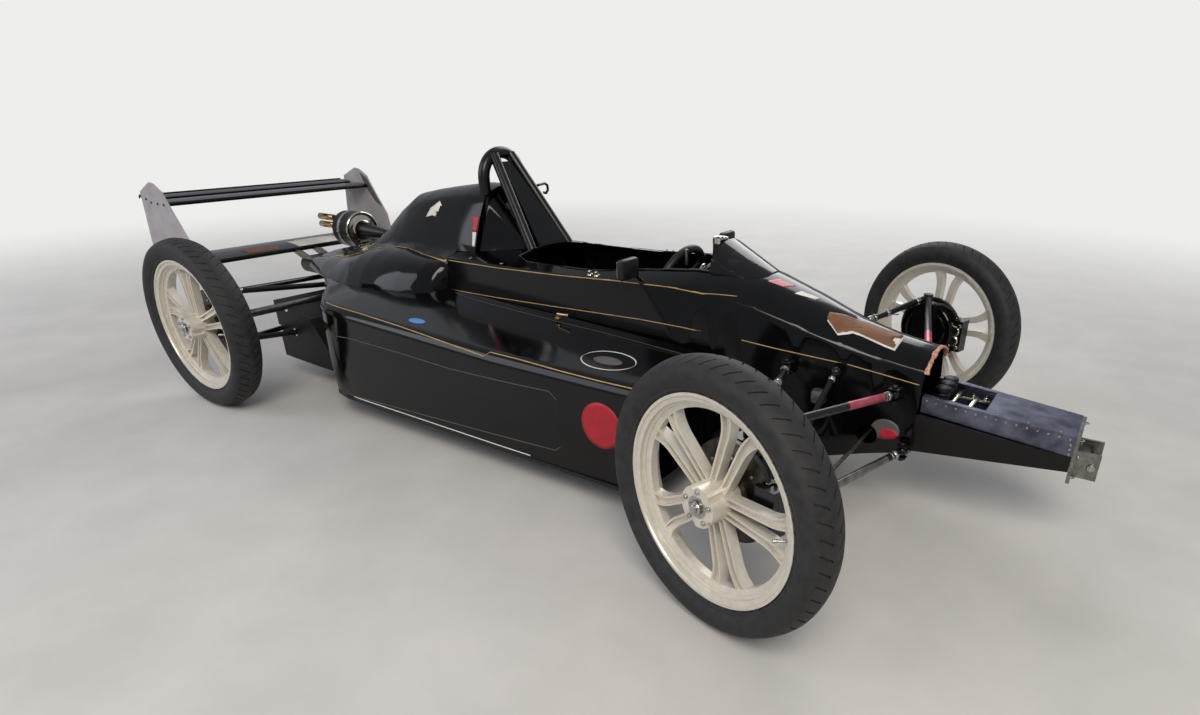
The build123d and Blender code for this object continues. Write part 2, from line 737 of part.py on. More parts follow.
# Wishbones and pushrods, one set at each corner
for side, word in ((-1, "right"), (1, "left")):
    with BuildPart() as arms:
        for mounts, z in ((front_low_mounts, low_ball_z), (front_high_mounts, high_ball_z)):
            outer = (front_axle_x, side * kingpin_y, z)
            arm(mounts, side, outer)
            drum(Plane((front_axle_x, side * kingpin_y, z - ball_height / 2)), 18, ball_height)
        push_head = (push_top[0], side * push_top[1], push_top[2])
        rod(push_head, (push_foot[0], side * push_foot[1], push_foot[2]), push_radius)
        ball(push_head, ball_radius)
        rod(*[(x, side * y, z) for x, y, z in push_cross], push_radius)
    save(arms, f"front_arms_{word}")

for side, word in ((-1, "right"), (1, "left")):
    with BuildPart() as arms:
        for mounts, z in ((rear_low_mounts, rear_low_z), (rear_high_mounts, rear_high_z)):
            outer = (rear_axle_x, side * rear_ball_y, z)
            arm(mounts, side, outer)
            ball(outer, ball_radius)
    save(arms, f"rear_arms_{word}")

# Drive shafts from the gearbox flanges to the rear uprights
with BuildPart() as drive_shafts:
    for side in (-1, 1):
        rod((rear_axle_x, side * (drive_flange_half + seam), axle_z),
            (rear_axle_x, side * (rear_upright_y - upright_half - seam), axle_z), shaft_radius)
save(drive_shafts, "drive_shafts")

# Mirrors on the cockpit sides
with BuildPart() as mirrors:
    for side in (-1, 1):
        rod((mirror_x, side * 225, 612), (mirror_x, side * 290, mirror_z - 12), mirror_stalk_radius)
        inner, outer = sorted((side * mirror_inner, side * mirror_outer))
        box((mirror_x - mirror_depth / 2, inner, mirror_z - mirror_half_height),
            (mirror_x + mirror_depth / 2, outer, mirror_z + mirror_half_height))
    add(body_clearance, mode=Mode.SUBTRACT)
save(mirrors, "mirrors")


def knuckle_plane(side):
    """Plane at the kingpin, its x forward along the steered wheel, its y to the left."""
    turn = radians(steering_rest_deg)
    pivot = (front_axle_x, side * kingpin_y, axle_z)
    return Plane(origin=pivot, x_dir=(cos(turn), sin(turn), 0), z_dir=(0, 0, 1))


def hub_plane(side, front):
    """Plane at the wheel centre, its z along the axle and outboard."""
    if front:
        knuckle = knuckle_plane(side)
        centre = knuckle.from_local_coords(Vector(0, side * kingpin_offset, 0))
        return Plane(origin=centre, x_dir=knuckle.x_dir, z_dir=knuckle.y_dir * side)
    return Plane(origin=(rear_axle_x, side * rear_track / 2, axle_z), x_dir=(1, 0, 0), z_dir=(0, side, 0))


def upright_parts(hub, inner):
    """Stub axle, upright block and brake cover, placed from the wheel centre."""
    with BuildSketch(hub.offset(-inner)) as axle:
        Circle(axle_radius)
    extrude(axle.sketch, amount=inner + axle_reach)
    with BuildSketch(hub.offset(-inner - upright_half)) as block:
        Rectangle(upright_width, 2 * upright_half_height)
    extrude(block.sketch, amount=2 * upright_half)
    with BuildSketch(hub.offset(-backplate_offset - backplate_thickness)) as cover:
        Circle(backplate_radius)
    extrude(cover.sketch, amount=backplate_thickness)


def caliper_parts(hub):
    """Caliper that straddles the disc ahead of the axle."""
    gap = disc_thickness / 2 + caliper_clearance
    with BuildSketch(hub.offset(-backplate_offset)) as body:
        with Locations(Location((disc_radius - 12, 0, 0))):
            Rectangle(56, 120)
    extrude(body.sketch, amount=backplate_offset - disc_offset + gap + 14)
    with BuildSketch(hub.offset(-disc_offset - gap)) as slot:
        Circle(disc_radius + caliper_clearance)
    extrude(slot.sketch, amount=2 * gap, mode=Mode.SUBTRACT)


for side, word in ((-1, "right"), (1, "left")):
    with BuildPart() as upright:
        caliper_parts(hub_plane(side, True))
        upright_parts(hub_plane(side, True), kingpin_offset)
        knuckle = knuckle_plane(side)
        with BuildSketch(knuckle.offset(steering_arm_z - axle_z - arm_thickness / 2)) as steering_arm:
            with Locations((steering_arm_length / 2 + 10, -side * 8)):
                Rectangle(steering_arm_length - 20, 24)
            with Locations((steering_arm_length, -side * 16)):
                Circle(arm_pad_radius)
        extrude(steering_arm.sketch, amount=arm_thickness)
        drum(knuckle.offset(upright_half_height - 1), 9,
             high_ball_z - ball_height / 2 - seam - axle_z - upright_half_height + 1)
        drum(knuckle.offset(low_ball_z + ball_height / 2 + seam - axle_z), 9,
             axle_z - upright_half_height + 1 - low_ball_z - ball_height / 2 - seam)
    save(upright, f"front_upright_{word}")

for side, word in ((-1, "right"), (1, "left")):
    with BuildPart() as upright:
        caliper_parts(hub_plane(side, False))
        upright_parts(hub_plane(side, False), rear_upright_inset)
    save(upright, f"rear_upright_{word}")

# Steering rack: a bar through the tub with a track rod at each end
with BuildPart() as steering_rack:
    ends = []
    for side in (-1, 1):
        pad = knuckle_plane(side).from_local_coords(Vector(steering_arm_length, -side * 16, 0))
        ends.append((pad.X, pad.Y, tie_rod_z))
        rod((pad.X, pad.Y, tie_rod_z - tie_rod_end_half), (pad.X, pad.Y, tie_rod_z + tie_rod_end_half),
            arm_pad_radius)
    rod(ends[0], ends[1], tie_rod_radius)
save(steering_rack, "steering_rack")

# Steering wheel with its column
with BuildPart() as steering_wheel:
    column = Vector(column_end_x - steering_wheel_x, 0, column_end_z - steering_wheel_z)
    face = Plane(origin=(steering_wheel_x, 0, steering_wheel_z), x_dir=(0, 1, 0), z_dir=column)
    rod((steering_wheel_x, 0, steering_wheel_z), (column_end_x, 0, column_end_z), column_radius)
    with BuildSketch(Plane(origin=face.origin + face.x_dir * wheel_rim_radius, x_dir=face.x_dir,
                           z_dir=face.y_dir)) as grip:
        Circle(wheel_grip_radius)
    revolve(grip.sketch, axis=Axis(face.origin, face.z_dir))
    with BuildSketch(face.offset(-4)) as spokes:
        Circle(34)
        with PolarLocations(wheel_rim_radius / 2, 3, start_angle=-90):
            Rectangle(wheel_rim_radius - 6, 30)
    extrude(spokes.sketch, amount=8)
save(steering_wheel, "steering_wheel")


def make_rim(hub, spoke_turn):
    """Cast wheel: stepped rim, five pairs of forked bars, long fluted hub."""
    flange = rim_width / 2
    radial = Plane(origin=hub.origin, x_dir=hub.x_dir, z_dir=-hub.y_dir)
    spin = Axis(hub.origin, hub.z_dir)
    with BuildPart() as rim:
        with BuildSketch(radial) as ring:
            with BuildLine():
                Polyline((rim_lip_radius, flange + flange_thickness), (rim_lip_radius, flange),
                         (rim_seat_radius, flange), (rim_seat_radius, flange - 14), (rim_well_radius, 10),
                         (rim_well_radius, -10), (rim_seat_radius, -flange + 14), (rim_seat_radius, -flange),
                         (rim_lip_radius, -flange), (rim_lip_radius, -flange - flange_thickness),
                         (rim_lip_radius - 9, -flange - flange_thickness),
                         (rim_seat_radius - rim_skin, -flange + 12),
                         (rim_well_radius - rim_skin, -8), (rim_well_radius - rim_skin, 12),
                         (rim_seat_radius - 2 * rim_step, flange - 16),
                         (rim_seat_radius - 2 * rim_step, flange - 12),
                         (rim_seat_radius - rim_step, flange - 10), (rim_seat_radius - rim_step, flange),
                         (rim_lip_radius - 9, flange + 2), (rim_lip_radius - 7, flange + flange_thickness),
                         close=True)
            make_face()
        revolve(ring.sketch, axis=spin)
        turned = Plane(origin=hub.origin, x_dir=hub.x_dir.rotate(spin, spoke_turn), z_dir=hub.z_dir)
        with BuildSketch(turned.offset(-bar_depth / 2)) as bars:
            for hand in (-1, 1):
                make_face(bar_outline(hand, 0))
        pair = extrude(bars.sketch, amount=bar_depth, mode=Mode.PRIVATE)
        with BuildSketch(turned.offset(bar_depth / 2 - channel_depth)) as grooves:
            for hand in (-1, 1):
                make_face(bar_outline(hand, channel_edge))
        pair = pair - extrude(grooves.sketch, amount=channel_depth, mode=Mode.PRIVATE)
        for step in range(spoke_pairs):
            add(pair.rotate(spin, 360 / spoke_pairs * step))
        with BuildSketch(hub.offset(-hub_inboard)) as barrel:
            Circle(hub_radius)
        extrude(barrel.sketch, amount=hub_inboard + hub_outboard)
        with BuildSketch(turned.offset(bar_depth / 2 + 4)) as flutes:
            with PolarLocations(hub_radius + 4, hub_flutes, start_angle=36):
                Circle(hub_flute_radius)
        extrude(flutes.sketch, amount=hub_outboard, mode=Mode.SUBTRACT)
        with BuildSketch(hub.offset(-hub_inboard)) as hole:
            Circle(axle_radius + axle_clearance)
        extrude(hole.sketch, amount=hub_inboard + axle_reach + 4, mode=Mode.SUBTRACT)
    return rim


def bar_outline(hand, inset):
    """One bar of a pair, drawn in by inset: straight from the hub, then curving out to the rim."""
    inner = [(r, hand * (low + inset)) for r, low, high in bar_spread]
    outer = [(r, hand * (high - inset)) for r, low, high in bar_spread]
    with BuildLine() as edge:
        Line(inner[0], inner[1])
        ThreePointArc(*inner[1:])
        Line(inner[3], outer[3])
        ThreePointArc(*outer[:0:-1])
        Line(outer[1], outer[0])
        Line(outer[0], inner[0])
    return edge.line


def make_tyre(hub):
    """Road motorcycle tyre: round crown and tall sidewalls, seated on the rim."""
    radial = Plane(origin=hub.origin, x_dir=hub.x_dir, z_dir=-hub.y_dir)
    half = tyre_width / 2
    bead = rim_width / 2 - seam
    bead_radius = rim_seat_radius + seam
    edge_radius = rim_lip_radius + 3
    with BuildPart() as tyre:
        with BuildSketch(radial) as ring:
            with BuildLine():
                Polyline((edge_radius, -bead), (bead_radius, -bead), (bead_radius, bead),
                         (edge_radius, bead))
                ThreePointArc((edge_radius, bead), (275, half - 6), (295, half))
                ThreePointArc((295, half), (tyre_radius - 7, half * 0.55), (tyre_radius, 0))
                ThreePointArc((tyre_radius, 0), (tyre_radius - 7, -half * 0.55), (295, -half))
                ThreePointArc((295, -half), (275, -half + 6), (edge_radius, -bead))
            make_face()
        revolve(ring.sketch, axis=Axis(hub.origin, hub.z_dir))
    return tyre


def make_disc(hub):
    """Brake disc on its bell, bolted to the inboard face of the hub."""
    radial = Plane(origin=hub.origin, x_dir=hub.x_dir, z_dir=-hub.y_dir)
    with BuildPart() as disc:
        with BuildSketch(radial) as ring:
            with BuildLine():
                low = -disc_offset - disc_thickness / 2
                high = -disc_offset + disc_thickness / 2
                face = -hub_inboard - seam
                Polyline((disc_radius, low), (disc_radius, high), (disc_bell_radius + disc_bell_wall, high),
                         (disc_bell_radius + disc_bell_wall, face), (axle_radius + 2, face),
                         (axle_radius + 2, face - disc_bell_wall), (disc_bell_radius, face - disc_bell_wall),
                         (disc_bell_radius, low), close=True)
            make_face()
        revolve(ring.sketch, axis=Axis(hub.origin, hub.z_dir))
    return disc


for front, end in ((True, "front"), (False, "rear")):
    for side, word in ((-1, "right"), (1, "left")):
        hub = hub_plane(side, front)
        save(make_rim(hub, spoke_turns[end, word]), f"rim_{end}_{word}")
        save(make_tyre(hub), f"tyre_{end}_{word}")
        save(make_disc(hub), f"brake_disc_{end}_{word}")
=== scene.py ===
import json
from math import atan2, cos, pi, radians, sin

import bpy
from mathutils import Matrix, Vector

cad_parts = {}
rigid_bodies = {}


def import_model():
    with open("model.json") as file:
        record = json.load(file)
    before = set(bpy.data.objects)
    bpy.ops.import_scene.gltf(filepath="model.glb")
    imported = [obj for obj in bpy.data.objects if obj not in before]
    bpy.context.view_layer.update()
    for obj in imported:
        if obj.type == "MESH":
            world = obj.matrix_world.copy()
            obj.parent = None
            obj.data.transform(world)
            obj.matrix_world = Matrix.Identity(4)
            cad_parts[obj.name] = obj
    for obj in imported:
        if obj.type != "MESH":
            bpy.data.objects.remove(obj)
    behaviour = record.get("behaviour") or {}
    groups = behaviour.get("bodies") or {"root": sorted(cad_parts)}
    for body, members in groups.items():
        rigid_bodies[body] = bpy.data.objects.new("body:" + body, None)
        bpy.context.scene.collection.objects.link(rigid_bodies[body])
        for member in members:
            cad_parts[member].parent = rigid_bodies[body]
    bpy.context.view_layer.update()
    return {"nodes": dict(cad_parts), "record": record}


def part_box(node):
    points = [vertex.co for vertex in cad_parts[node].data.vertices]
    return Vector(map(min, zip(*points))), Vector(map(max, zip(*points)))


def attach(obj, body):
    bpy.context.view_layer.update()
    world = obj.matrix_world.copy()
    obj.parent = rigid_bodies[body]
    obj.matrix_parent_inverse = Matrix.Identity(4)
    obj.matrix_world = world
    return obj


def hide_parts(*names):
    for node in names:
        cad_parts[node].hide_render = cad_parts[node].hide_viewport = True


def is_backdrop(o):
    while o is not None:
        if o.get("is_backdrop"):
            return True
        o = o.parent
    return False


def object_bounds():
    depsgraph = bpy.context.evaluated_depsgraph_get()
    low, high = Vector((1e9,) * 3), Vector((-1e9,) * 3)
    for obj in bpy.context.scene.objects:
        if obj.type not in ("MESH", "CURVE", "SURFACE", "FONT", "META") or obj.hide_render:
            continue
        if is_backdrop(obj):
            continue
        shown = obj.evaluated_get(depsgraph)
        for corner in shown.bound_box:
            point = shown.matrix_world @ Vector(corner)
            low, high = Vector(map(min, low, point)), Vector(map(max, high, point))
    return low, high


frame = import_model()
nodes = frame["nodes"]


def linear(colour):
    """Linear RGBA from an sRGB hex value."""
    parts = [int(colour[i:i + 2], 16) / 255 for i in (1, 3, 5)]
    return [c / 12.92 if c <= 0.04045 else ((c + 0.055) / 1.055) ** 2.4 for c in parts] + [1.0]


def add_node(material, kind, settings=None, **links):
    """Adds one shader node, sets its values and links its inputs from other nodes' sockets."""
    node = material.node_tree.nodes.new(kind)
    for key, value in (settings or {}).items():
        if hasattr(node, key):
            setattr(node, key, value)
        else:
            node.inputs[int(key) if key.isdigit() else key].default_value = value
    for key, socket in links.items():
        place = key.replace("_", " ")
        place = int(place[5:]) if place.startswith("input") else place
        material.node_tree.links.new(node.inputs[place], socket)
    return node


def new_material(name, colour, roughness, metallic=0.0, **settings):
    """Material with a principled shader, its fixed values set on its own sockets."""
    material = bpy.data.materials.new(name)
    material.use_nodes = True
    shader = material.node_tree.nodes["Principled BSDF"]
    shader.inputs["Base Color"].default_value = linear(colour)
    shader.inputs["Roughness"].default_value = roughness
    shader.inputs["Metallic"].default_value = metallic
    for key, value in settings.items():
        shader.inputs[key.replace("_", " ")].default_value = value
    return material, shader


def finish_surface(material, shader, ramp, scale, rough_low, rough_high, bump_mm=0.0, detail=6.0):
    """Noise in object space that varies colour, roughness and height together."""
    place = add_node(material, "ShaderNodeTexCoord")
    noise = add_node(material, "ShaderNodeTexNoise", {"Scale": scale, "Detail": detail, "Roughness": 0.6},
                     Vector=place.outputs["Object"])
    shade = add_node(material, "ShaderNodeValToRGB", Fac=noise.outputs["Fac"])
    shade.color_ramp.elements[0].position = 0.35
    shade.color_ramp.elements[1].position = 0.68
    shade.color_ramp.elements[0].color = linear(ramp[0])
    shade.color_ramp.elements[1].color = linear(ramp[1])
    links = material.node_tree.links
    links.new(shader.inputs["Base Color"], shade.outputs["Color"])
    spread = add_node(material, "ShaderNodeMapRange", {"To Min": rough_low, "To Max": rough_high},
                      Value=noise.outputs["Fac"])
    links.new(shader.inputs["Roughness"], spread.outputs["Result"])
    if bump_mm:
        bump = add_node(material, "ShaderNodeBump", {"Strength": 0.4, "Distance": bump_mm / 1000},
                        Height=noise.outputs["Fac"])
        links.new(shader.inputs["Normal"], bump.outputs["Normal"])
    return material


# Sprayed and lacquered black enamel on glass fibre: deep gloss, faint orange peel, a little dust
gloss, shader = new_material("sprayed_black_enamel", "#050506", 0.1, Specular_IOR_Level=0.32)
finish_surface(gloss, shader, ("#040405", "#08080a"), 9, 0.05, 0.16, 0.03)

# Satin black powder coat on steel tube
satin, shader = new_material("powder_coated_steel", "#0a0a0b", 0.3, Specular_IOR_Level=0.4)
finish_surface(satin, shader, ("#08080a", "#0e0e10"), 40, 0.22, 0.38, 0.05)

# Moulded black plastic
plastic, shader = new_material("moulded_black_plastic", "#0e0e0e", 0.45, Specular_IOR_Level=0.4)
finish_surface(plastic, shader, ("#0b0b0b", "#131313"), 60, 0.38, 0.56, 0.1)

# Rolled aluminium sheet, handled and dull
sheet, shader = new_material("rolled_aluminium_sheet", "#7d7f86", 0.42, 1.0)
finish_surface(sheet, shader, ("#4e5060", "#808396"), 18, 0.34, 0.5, 0.04)

# Turned and ground steel
steel, shader = new_material("ground_steel", "#8b8984", 0.32, 1.0)
finish_surface(steel, shader, ("#75736f", "#9d9b96"), 50, 0.26, 0.42)

# Sand-cast aluminium alloy
cast, shader = new_material("sand_cast_alloy", "#6f6f6d", 0.6, 0.9)
finish_surface(cast, shader, ("#555553", "#7c7c79"), 90, 0.55, 0.72, 0.3)

# Die-cast wheel in cream-white lacquer, slightly rough
wheel, shader = new_material("lacquered_cast_wheel", "#d9d3c6", 0.36, 0.35, Coat_Weight=0.3)
finish_surface(wheel, shader, ("#d3cdc0", "#dfdace"), 60, 0.3, 0.42, 0.03)

# Vulcanised rubber, worn grey on the crown
rubber, shader = new_material("vulcanised_rubber", "#1e1e1f", 0.7)
finish_surface(rubber, shader, ("#18181a", "#2b2b2c"), 45, 0.58, 0.8, 0.1)

# Ground cast iron brake disc
iron, shader = new_material("ground_cast_iron", "#57544f", 0.4, 1.0)
finish_surface(iron, shader, ("#45423e", "#66635d"), 60, 0.34, 0.5)

# Pale grey enamel on the wing's end plates
pale, shader = new_material("pale_grey_enamel", "#a9a2a4", 0.4)
finish_surface(pale, shader, ("#9c9597", "#b3adae"), 12, 0.32, 0.5)

# Smoked acrylic sheet
screen, shader = new_material("smoked_acrylic", "#1d1b1c", 0.06, IOR=1.49, Transmission_Weight=0.85)
finish_surface(screen, shader, ("#181617", "#242122"), 14, 0.04, 0.1)

# Cut and stuck vinyl film in the colours of the coachwork's trim
def film(name, colour, worn):
    """Vinyl film: one colour, slightly worn, with a soft sheen."""
    material, shader = new_material(name, colour, 0.45)
    return finish_surface(material, shader, (worn, colour), 30, 0.38, 0.55)


gold_film = film("cut_gold_vinyl", "#b59a68", "#a1854f")
white_film = film("cut_white_vinyl", "#e4e0da", "#cfcac2")
tan_film = film("cut_tan_vinyl", "#7a5232", "#6a452a")
red_film = film("cut_red_vinyl", "#b3142a", "#9c1024")
blue_film = film("cut_blue_vinyl", "#5d93d6", "#5286c8")
pink_film = film("cut_pink_vinyl", "#d98a94", "#c67882")
grey_film = film("cut_grey_vinyl", "#54504e", "#4a4644")

# Die-stamped rivet and screw heads, bright zinc plate
zinc, shader = new_material("stamped_zinc_plated_steel", "#b9b8b4", 0.28, 1.0)
finish_surface(zinc, shader, ("#a3a29e", "#c6c5c1"), 120, 0.22, 0.36)

# Turned and polished stainless steel of the tail pipes and the silencer's rim
bright, shader = new_material("polished_stainless_steel", "#d6d2c8", 0.14, 1.0)
finish_surface(bright, shader, ("#bdb59f", "#dedbd3"), 22, 0.10, 0.22)

# Stainless steel of the tail pipes, tinted gold by heat
tinted, shader = new_material("heat_tinted_stainless_steel", "#c9a76c", 0.2, 1.0)
finish_surface(tinted, shader, ("#a88650", "#d9bd8c"), 26, 0.14, 0.26)

# Torn edge of hand-laid glass fibre, raw and pinkish
raw_fibre, shader = new_material("torn_glass_fibre", "#c58f7c", 0.8)
finish_surface(raw_fibre, shader, ("#a8705e", "#d8a893"), 70, 0.7, 0.9, 0.6)

# Woven nylon webbing of the harness
webbing, shader = new_material("woven_nylon_webbing", "#1c2340", 0.8)
finish_surface(webbing, shader, ("#171d36", "#242c4c"), 400, 0.74, 0.9, 0.15, 2.0)

# Stitched vinyl over foam
foam, shader = new_material("stitched_vinyl_foam", "#191919", 0.62)
finish_surface(foam, shader, ("#141414", "#222222"), 140, 0.55, 0.7, 0.15)

# Printed instrument face behind its glass
dial, shader = new_material("printed_instrument_face", "#d9d6cc", 0.35)
finish_surface(dial, shader, ("#d2cfc5", "#e0ddd4"), 80, 0.3, 0.4)

# Silvered mirror glass
mirror, shader = new_material("silvered_mirror_glass", "#dfe2e4", 0.04, 1.0)
finish_surface(mirror, shader, ("#d9dcdf", "#e4e7ea"), 6, 0.03, 0.07)

# Red anodised aluminium tube
anodised, shader = new_material("red_anodised_tube", "#c2586a", 0.3, 0.6)
finish_surface(anodised, shader, ("#b04a5c", "#cf6b7b"), 40, 0.25, 0.38)

finishes = {
    "black_bodywork": gloss, "black_paint": satin, "black_plastic": plastic, "sheet_aluminium": sheet,
    "bare_steel": steel, "cast_alloy": cast, "cast_wheel": wheel, "tyre_rubber": rubber, "disc_iron": iron,
    "pale_plate": pale, "tinted_screen": screen,
}
for part in frame["record"]["subparts"]:
    piece = nodes[part["node"]]
    for place in piece.material_slots:
        place.material = finishes[part["material_slot"]]

# Soft shading across the body panels, with the edges sharper than the crease angle kept
crease = radians(50)
smoothing = bpy.data.node_groups.new("smooth_panel", "GeometryNodeTree")
for way in ("INPUT", "OUTPUT"):
    smoothing.interface.new_socket("Geometry", in_out=way, socket_type="NodeSocketGeometry")
source = smoothing.nodes.new("NodeGroupInput")
weld = smoothing.nodes.new("GeometryNodeMergeByDistance")
weld.inputs["Distance"].default_value = 0.00005
bend = smoothing.nodes.new("GeometryNodeInputMeshEdgeAngle")
sharp = smoothing.nodes.new("FunctionNodeCompare")
sharp.inputs[1].default_value = crease
normals = smoothing.nodes.new("GeometryNodeSetMeshNormal")
normals.mode = "SHARPNESS"
normals.inputs["Remove Custom"].default_value = True
result = smoothing.nodes.new("NodeGroupOutput")
smoothing.links.new(weld.inputs["Geometry"], source.outputs["Geometry"])
smoothing.links.new(sharp.inputs[0], bend.outputs["Unsigned Angle"])
smoothing.links.new(normals.inputs["Mesh"], weld.outputs["Geometry"])
smoothing.links.new(normals.inputs["Edge Sharpness"], sharp.outputs["Result"])
smoothing.links.new(result.inputs["Geometry"], normals.outputs["Mesh"])
for name in ("engine_cover", "upper_body", "tub", "sidepod_right", "sidepod_left", "headrest", "windscreen"):
    nodes[name].modifiers.new("smooth_panel", "NODES").node_group = smoothing


def mm(x, y, z):
    """Point in metres from millimetres."""
    return Vector((x, y, z)) / 1000


def begin():
    """New object in edit mode with nothing in it yet."""
    bpy.ops.object.select_all(action="DESELECT")
    bpy.ops.mesh.primitive_plane_add(size=0.01)
    bpy.ops.object.mode_set(mode="EDIT")
    bpy.ops.mesh.delete(type="VERT")


def end(name, body, material, place=None, sharp=35):
    """Close the piece: normals outward, put in place, at the origin, smooth, painted and riding on its body."""
    bpy.ops.mesh.select_all(action="SELECT")
    bpy.ops.mesh.normals_make_consistent(inside=False)
    bpy.ops.object.mode_set(mode="OBJECT")
    piece = bpy.context.object
    piece.name = name
    piece.data.name = name
    if place:
        piece.matrix_world = place
        bpy.ops.object.transform_apply(location=True, rotation=True, scale=True)
    bpy.ops.object.shade_smooth_by_angle(angle=radians(sharp))
    piece.data.materials.append(material)
    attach(piece, body)
    return piece


def chain(points, closed=False):
    """Edge chain through points in metres, drawn from one corner by extrusion; the whole chain ends selected."""
    bpy.ops.mesh.select_all(action="DESELECT")
    bpy.ops.mesh.primitive_circle_add(vertices=3, radius=0.001, location=points[0])
    bpy.ops.mesh.merge(type="CENTER")
    for a, b in zip(points, points[1:]):
        bpy.ops.mesh.extrude_region_move(TRANSFORM_OT_translate={"value": Vector(b) - Vector(a)})
    bpy.ops.mesh.select_linked()
    if closed:
        bpy.ops.mesh.edge_face_add()


def lathe(profile, steps=32, start=(0, 0, 0)):
    """Ring swept about the local z axis from (radius, height) pairs in millimetres."""
    chain([mm(start[0] + r, start[1], start[2] + h) for r, h in profile])
    bpy.ops.mesh.spin(steps=steps, angle=2 * pi, center=mm(*start), axis=(0, 0, 1))
    bpy.ops.mesh.select_linked()
    bpy.ops.mesh.remove_doubles(threshold=0.00001)


def block(low, high, soften=0.0):
    """Block between two corners in millimetres, its edges softened."""
    low, high = mm(*low), mm(*high)
    bpy.ops.mesh.select_all(action="DESELECT")
    bpy.ops.mesh.primitive_cube_add(size=1, location=(low + high) / 2, scale=high - low)
    if soften:
        bpy.ops.mesh.bevel(offset=soften / 1000, segments=2, affect="EDGES")


def turn_to(axis):
    """Rotation that takes z to the axis."""
    return Vector(axis).to_track_quat("Z", "Y").to_euler()


def stud(place, axis, radius, height, sides=6, soften=0.18):
    """Bolt, nut or rivet head that stands on its place along the axis, its edges softened."""
    axis = Vector(axis).normalized()
    bpy.ops.mesh.select_all(action="DESELECT")
    bpy.ops.mesh.primitive_cylinder_add(vertices=sides, radius=radius / 1000, depth=height / 1000,
                                        location=mm(*place) + axis * height / 2000, rotation=turn_to(axis))
    bpy.ops.mesh.bevel(offset=radius * soften / 1000, segments=1, affect="EDGES")


def tube(points, radius, sides=12, soften=0.0):
    """Round bar along a chain of points in millimetres."""
    for a, b in zip(points, points[1:]):
        a, b = mm(*a), mm(*b)
        bpy.ops.mesh.select_all(action="DESELECT")
        bpy.ops.mesh.primitive_cylinder_add(vertices=sides, radius=radius / 1000, depth=(b - a).length,
                                            location=(a + b) / 2, rotation=turn_to(b - a))
        if soften:
            bpy.ops.mesh.bevel(offset=soften / 1000, segments=1, affect="EDGES")


def along(a, b, share):
    """Point between two points in millimetres."""
    return tuple(p + (q - p) * share for p, q in zip(a, b))


def nut(a, b, share, radius, height):
    """Lock nut on a bar from a to b."""
    stud(along(a, b, share), Vector(b) - Vector(a), radius, height, 6, 0.14)


def wrap(piece, target, lift):
    """Lay the piece on a node's surface, lifted by the same few tenths of a millimetre as it is thick."""
    bpy.ops.object.select_all(action="DESELECT")
    bpy.context.view_layer.objects.active = piece
    piece.select_set(True)
    bpy.ops.object.modifier_add(type="SHRINKWRAP")
    layer = piece.modifiers[-1]
    layer.target = nodes[target]
    layer.wrap_method = "NEAREST_SURFACEPOINT"
    layer.wrap_mode = "ABOVE_SURFACE"
    layer.offset = lift / 1000
    bpy.ops.object.modifier_apply(modifier=layer.name)
    bpy.ops.object.modifier_add(type="SOLIDIFY")
    layer = piece.modifiers[-1]
    layer.thickness = lift / 1000
    layer.offset = 1
    bpy.ops.object.modifier_apply(modifier=layer.name)


def stripe(name, points, across, width, target, material, lift=0.7):
    """Film strip laid along points in millimetres on a node, width wide along the vector across."""
    begin()
    chain([mm(*p) for p in points])
    bpy.ops.mesh.subdivide(number_cuts=11)
    bpy.ops.mesh.extrude_region_move(TRANSFORM_OT_translate={"value": Vector(across) * width / 1000})
    wrap(end(name, "chassis", material), target, lift)


def patch(name, outline, target, material, lift=0.5, cuts=4):
    """Film patch with an outline of points in millimetres, laid on a node."""
    begin()
    chain([mm(*p) for p in outline], closed=True)
    bpy.ops.mesh.poke()
    bpy.ops.mesh.subdivide(number_cuts=cuts)
    wrap(end(name, "chassis", material), target, lift)


def mirrored(points):
    """The same points on the other side of the car."""
    return [(x, -y, z) for x, y, z in points]


def around(count, radius, start=0.0):
    """Pairs of coordinates evenly spaced on a circle, the first at the start angle."""
    turns = [2 * pi / count * step + start for step in range(count)]
    return [(radius * cos(turn), radius * sin(turn)) for turn in turns]


sides = ((-1, "right"), (1, "left"))

# Wheels: where each turns and along which axis, from the record's joints
wheels = {}
for joint in frame["record"]["behaviour"]["joints"]:
    if joint["name"].startswith("spin_"):
        centre = Vector(joint["pos_m"])
        outboard = Vector(joint["axis"]).normalized()
        if outboard.y * centre.y < 0:
            outboard = -outboard
        ahead = Vector((0, 0, 1)).cross(outboard).normalized()
        aloft = outboard.cross(ahead)
        wheels[joint["child"]] = Matrix((
            (ahead.x, aloft.x, outboard.x, centre.x), (ahead.y, aloft.y, outboard.y, centre.y),
            (ahead.z, aloft.z, outboard.z, centre.z), (0, 0, 0, 1)))

# Half of the tyre's section: radius and distance from the middle plane, from bead to crown
tyre_half = [(249, 31.5), (256, 36), (259, 40.5), (262, 42.2), (265, 42.2), (268, 45.5), (280, 51.5), (293, 54.6),
             (305, 52.5), (313, 47.5), (318, 40), (322.5, 30), (326, 19), (328.2, 9), (329, 3)]
tread_blocks = 56
sipe_lean = radians(6)  # between the crown's plain band and the shoulder
sipe_width = radians(0.5)
sipe_depth = 3.0
sipe_start, sipe_end = 9, 40  # distance of the sipes' ends from the middle plane
crown_band, lean_span = 6, 48

# Faces on the wheel's own axis, in millimetres outboard of its middle plane
hub_face = 59.5
disc_bell_face = -46
caliper_face = -74


def tread_turn(across):
    """How far the tread's grid is turned about the axle at a distance from the middle plane."""
    return sipe_lean * max(0.0, abs(across) - crown_band) / lean_span


def axle_angle(point):
    """Angle of a point about the local z axis."""
    return atan2(point.y, point.x)


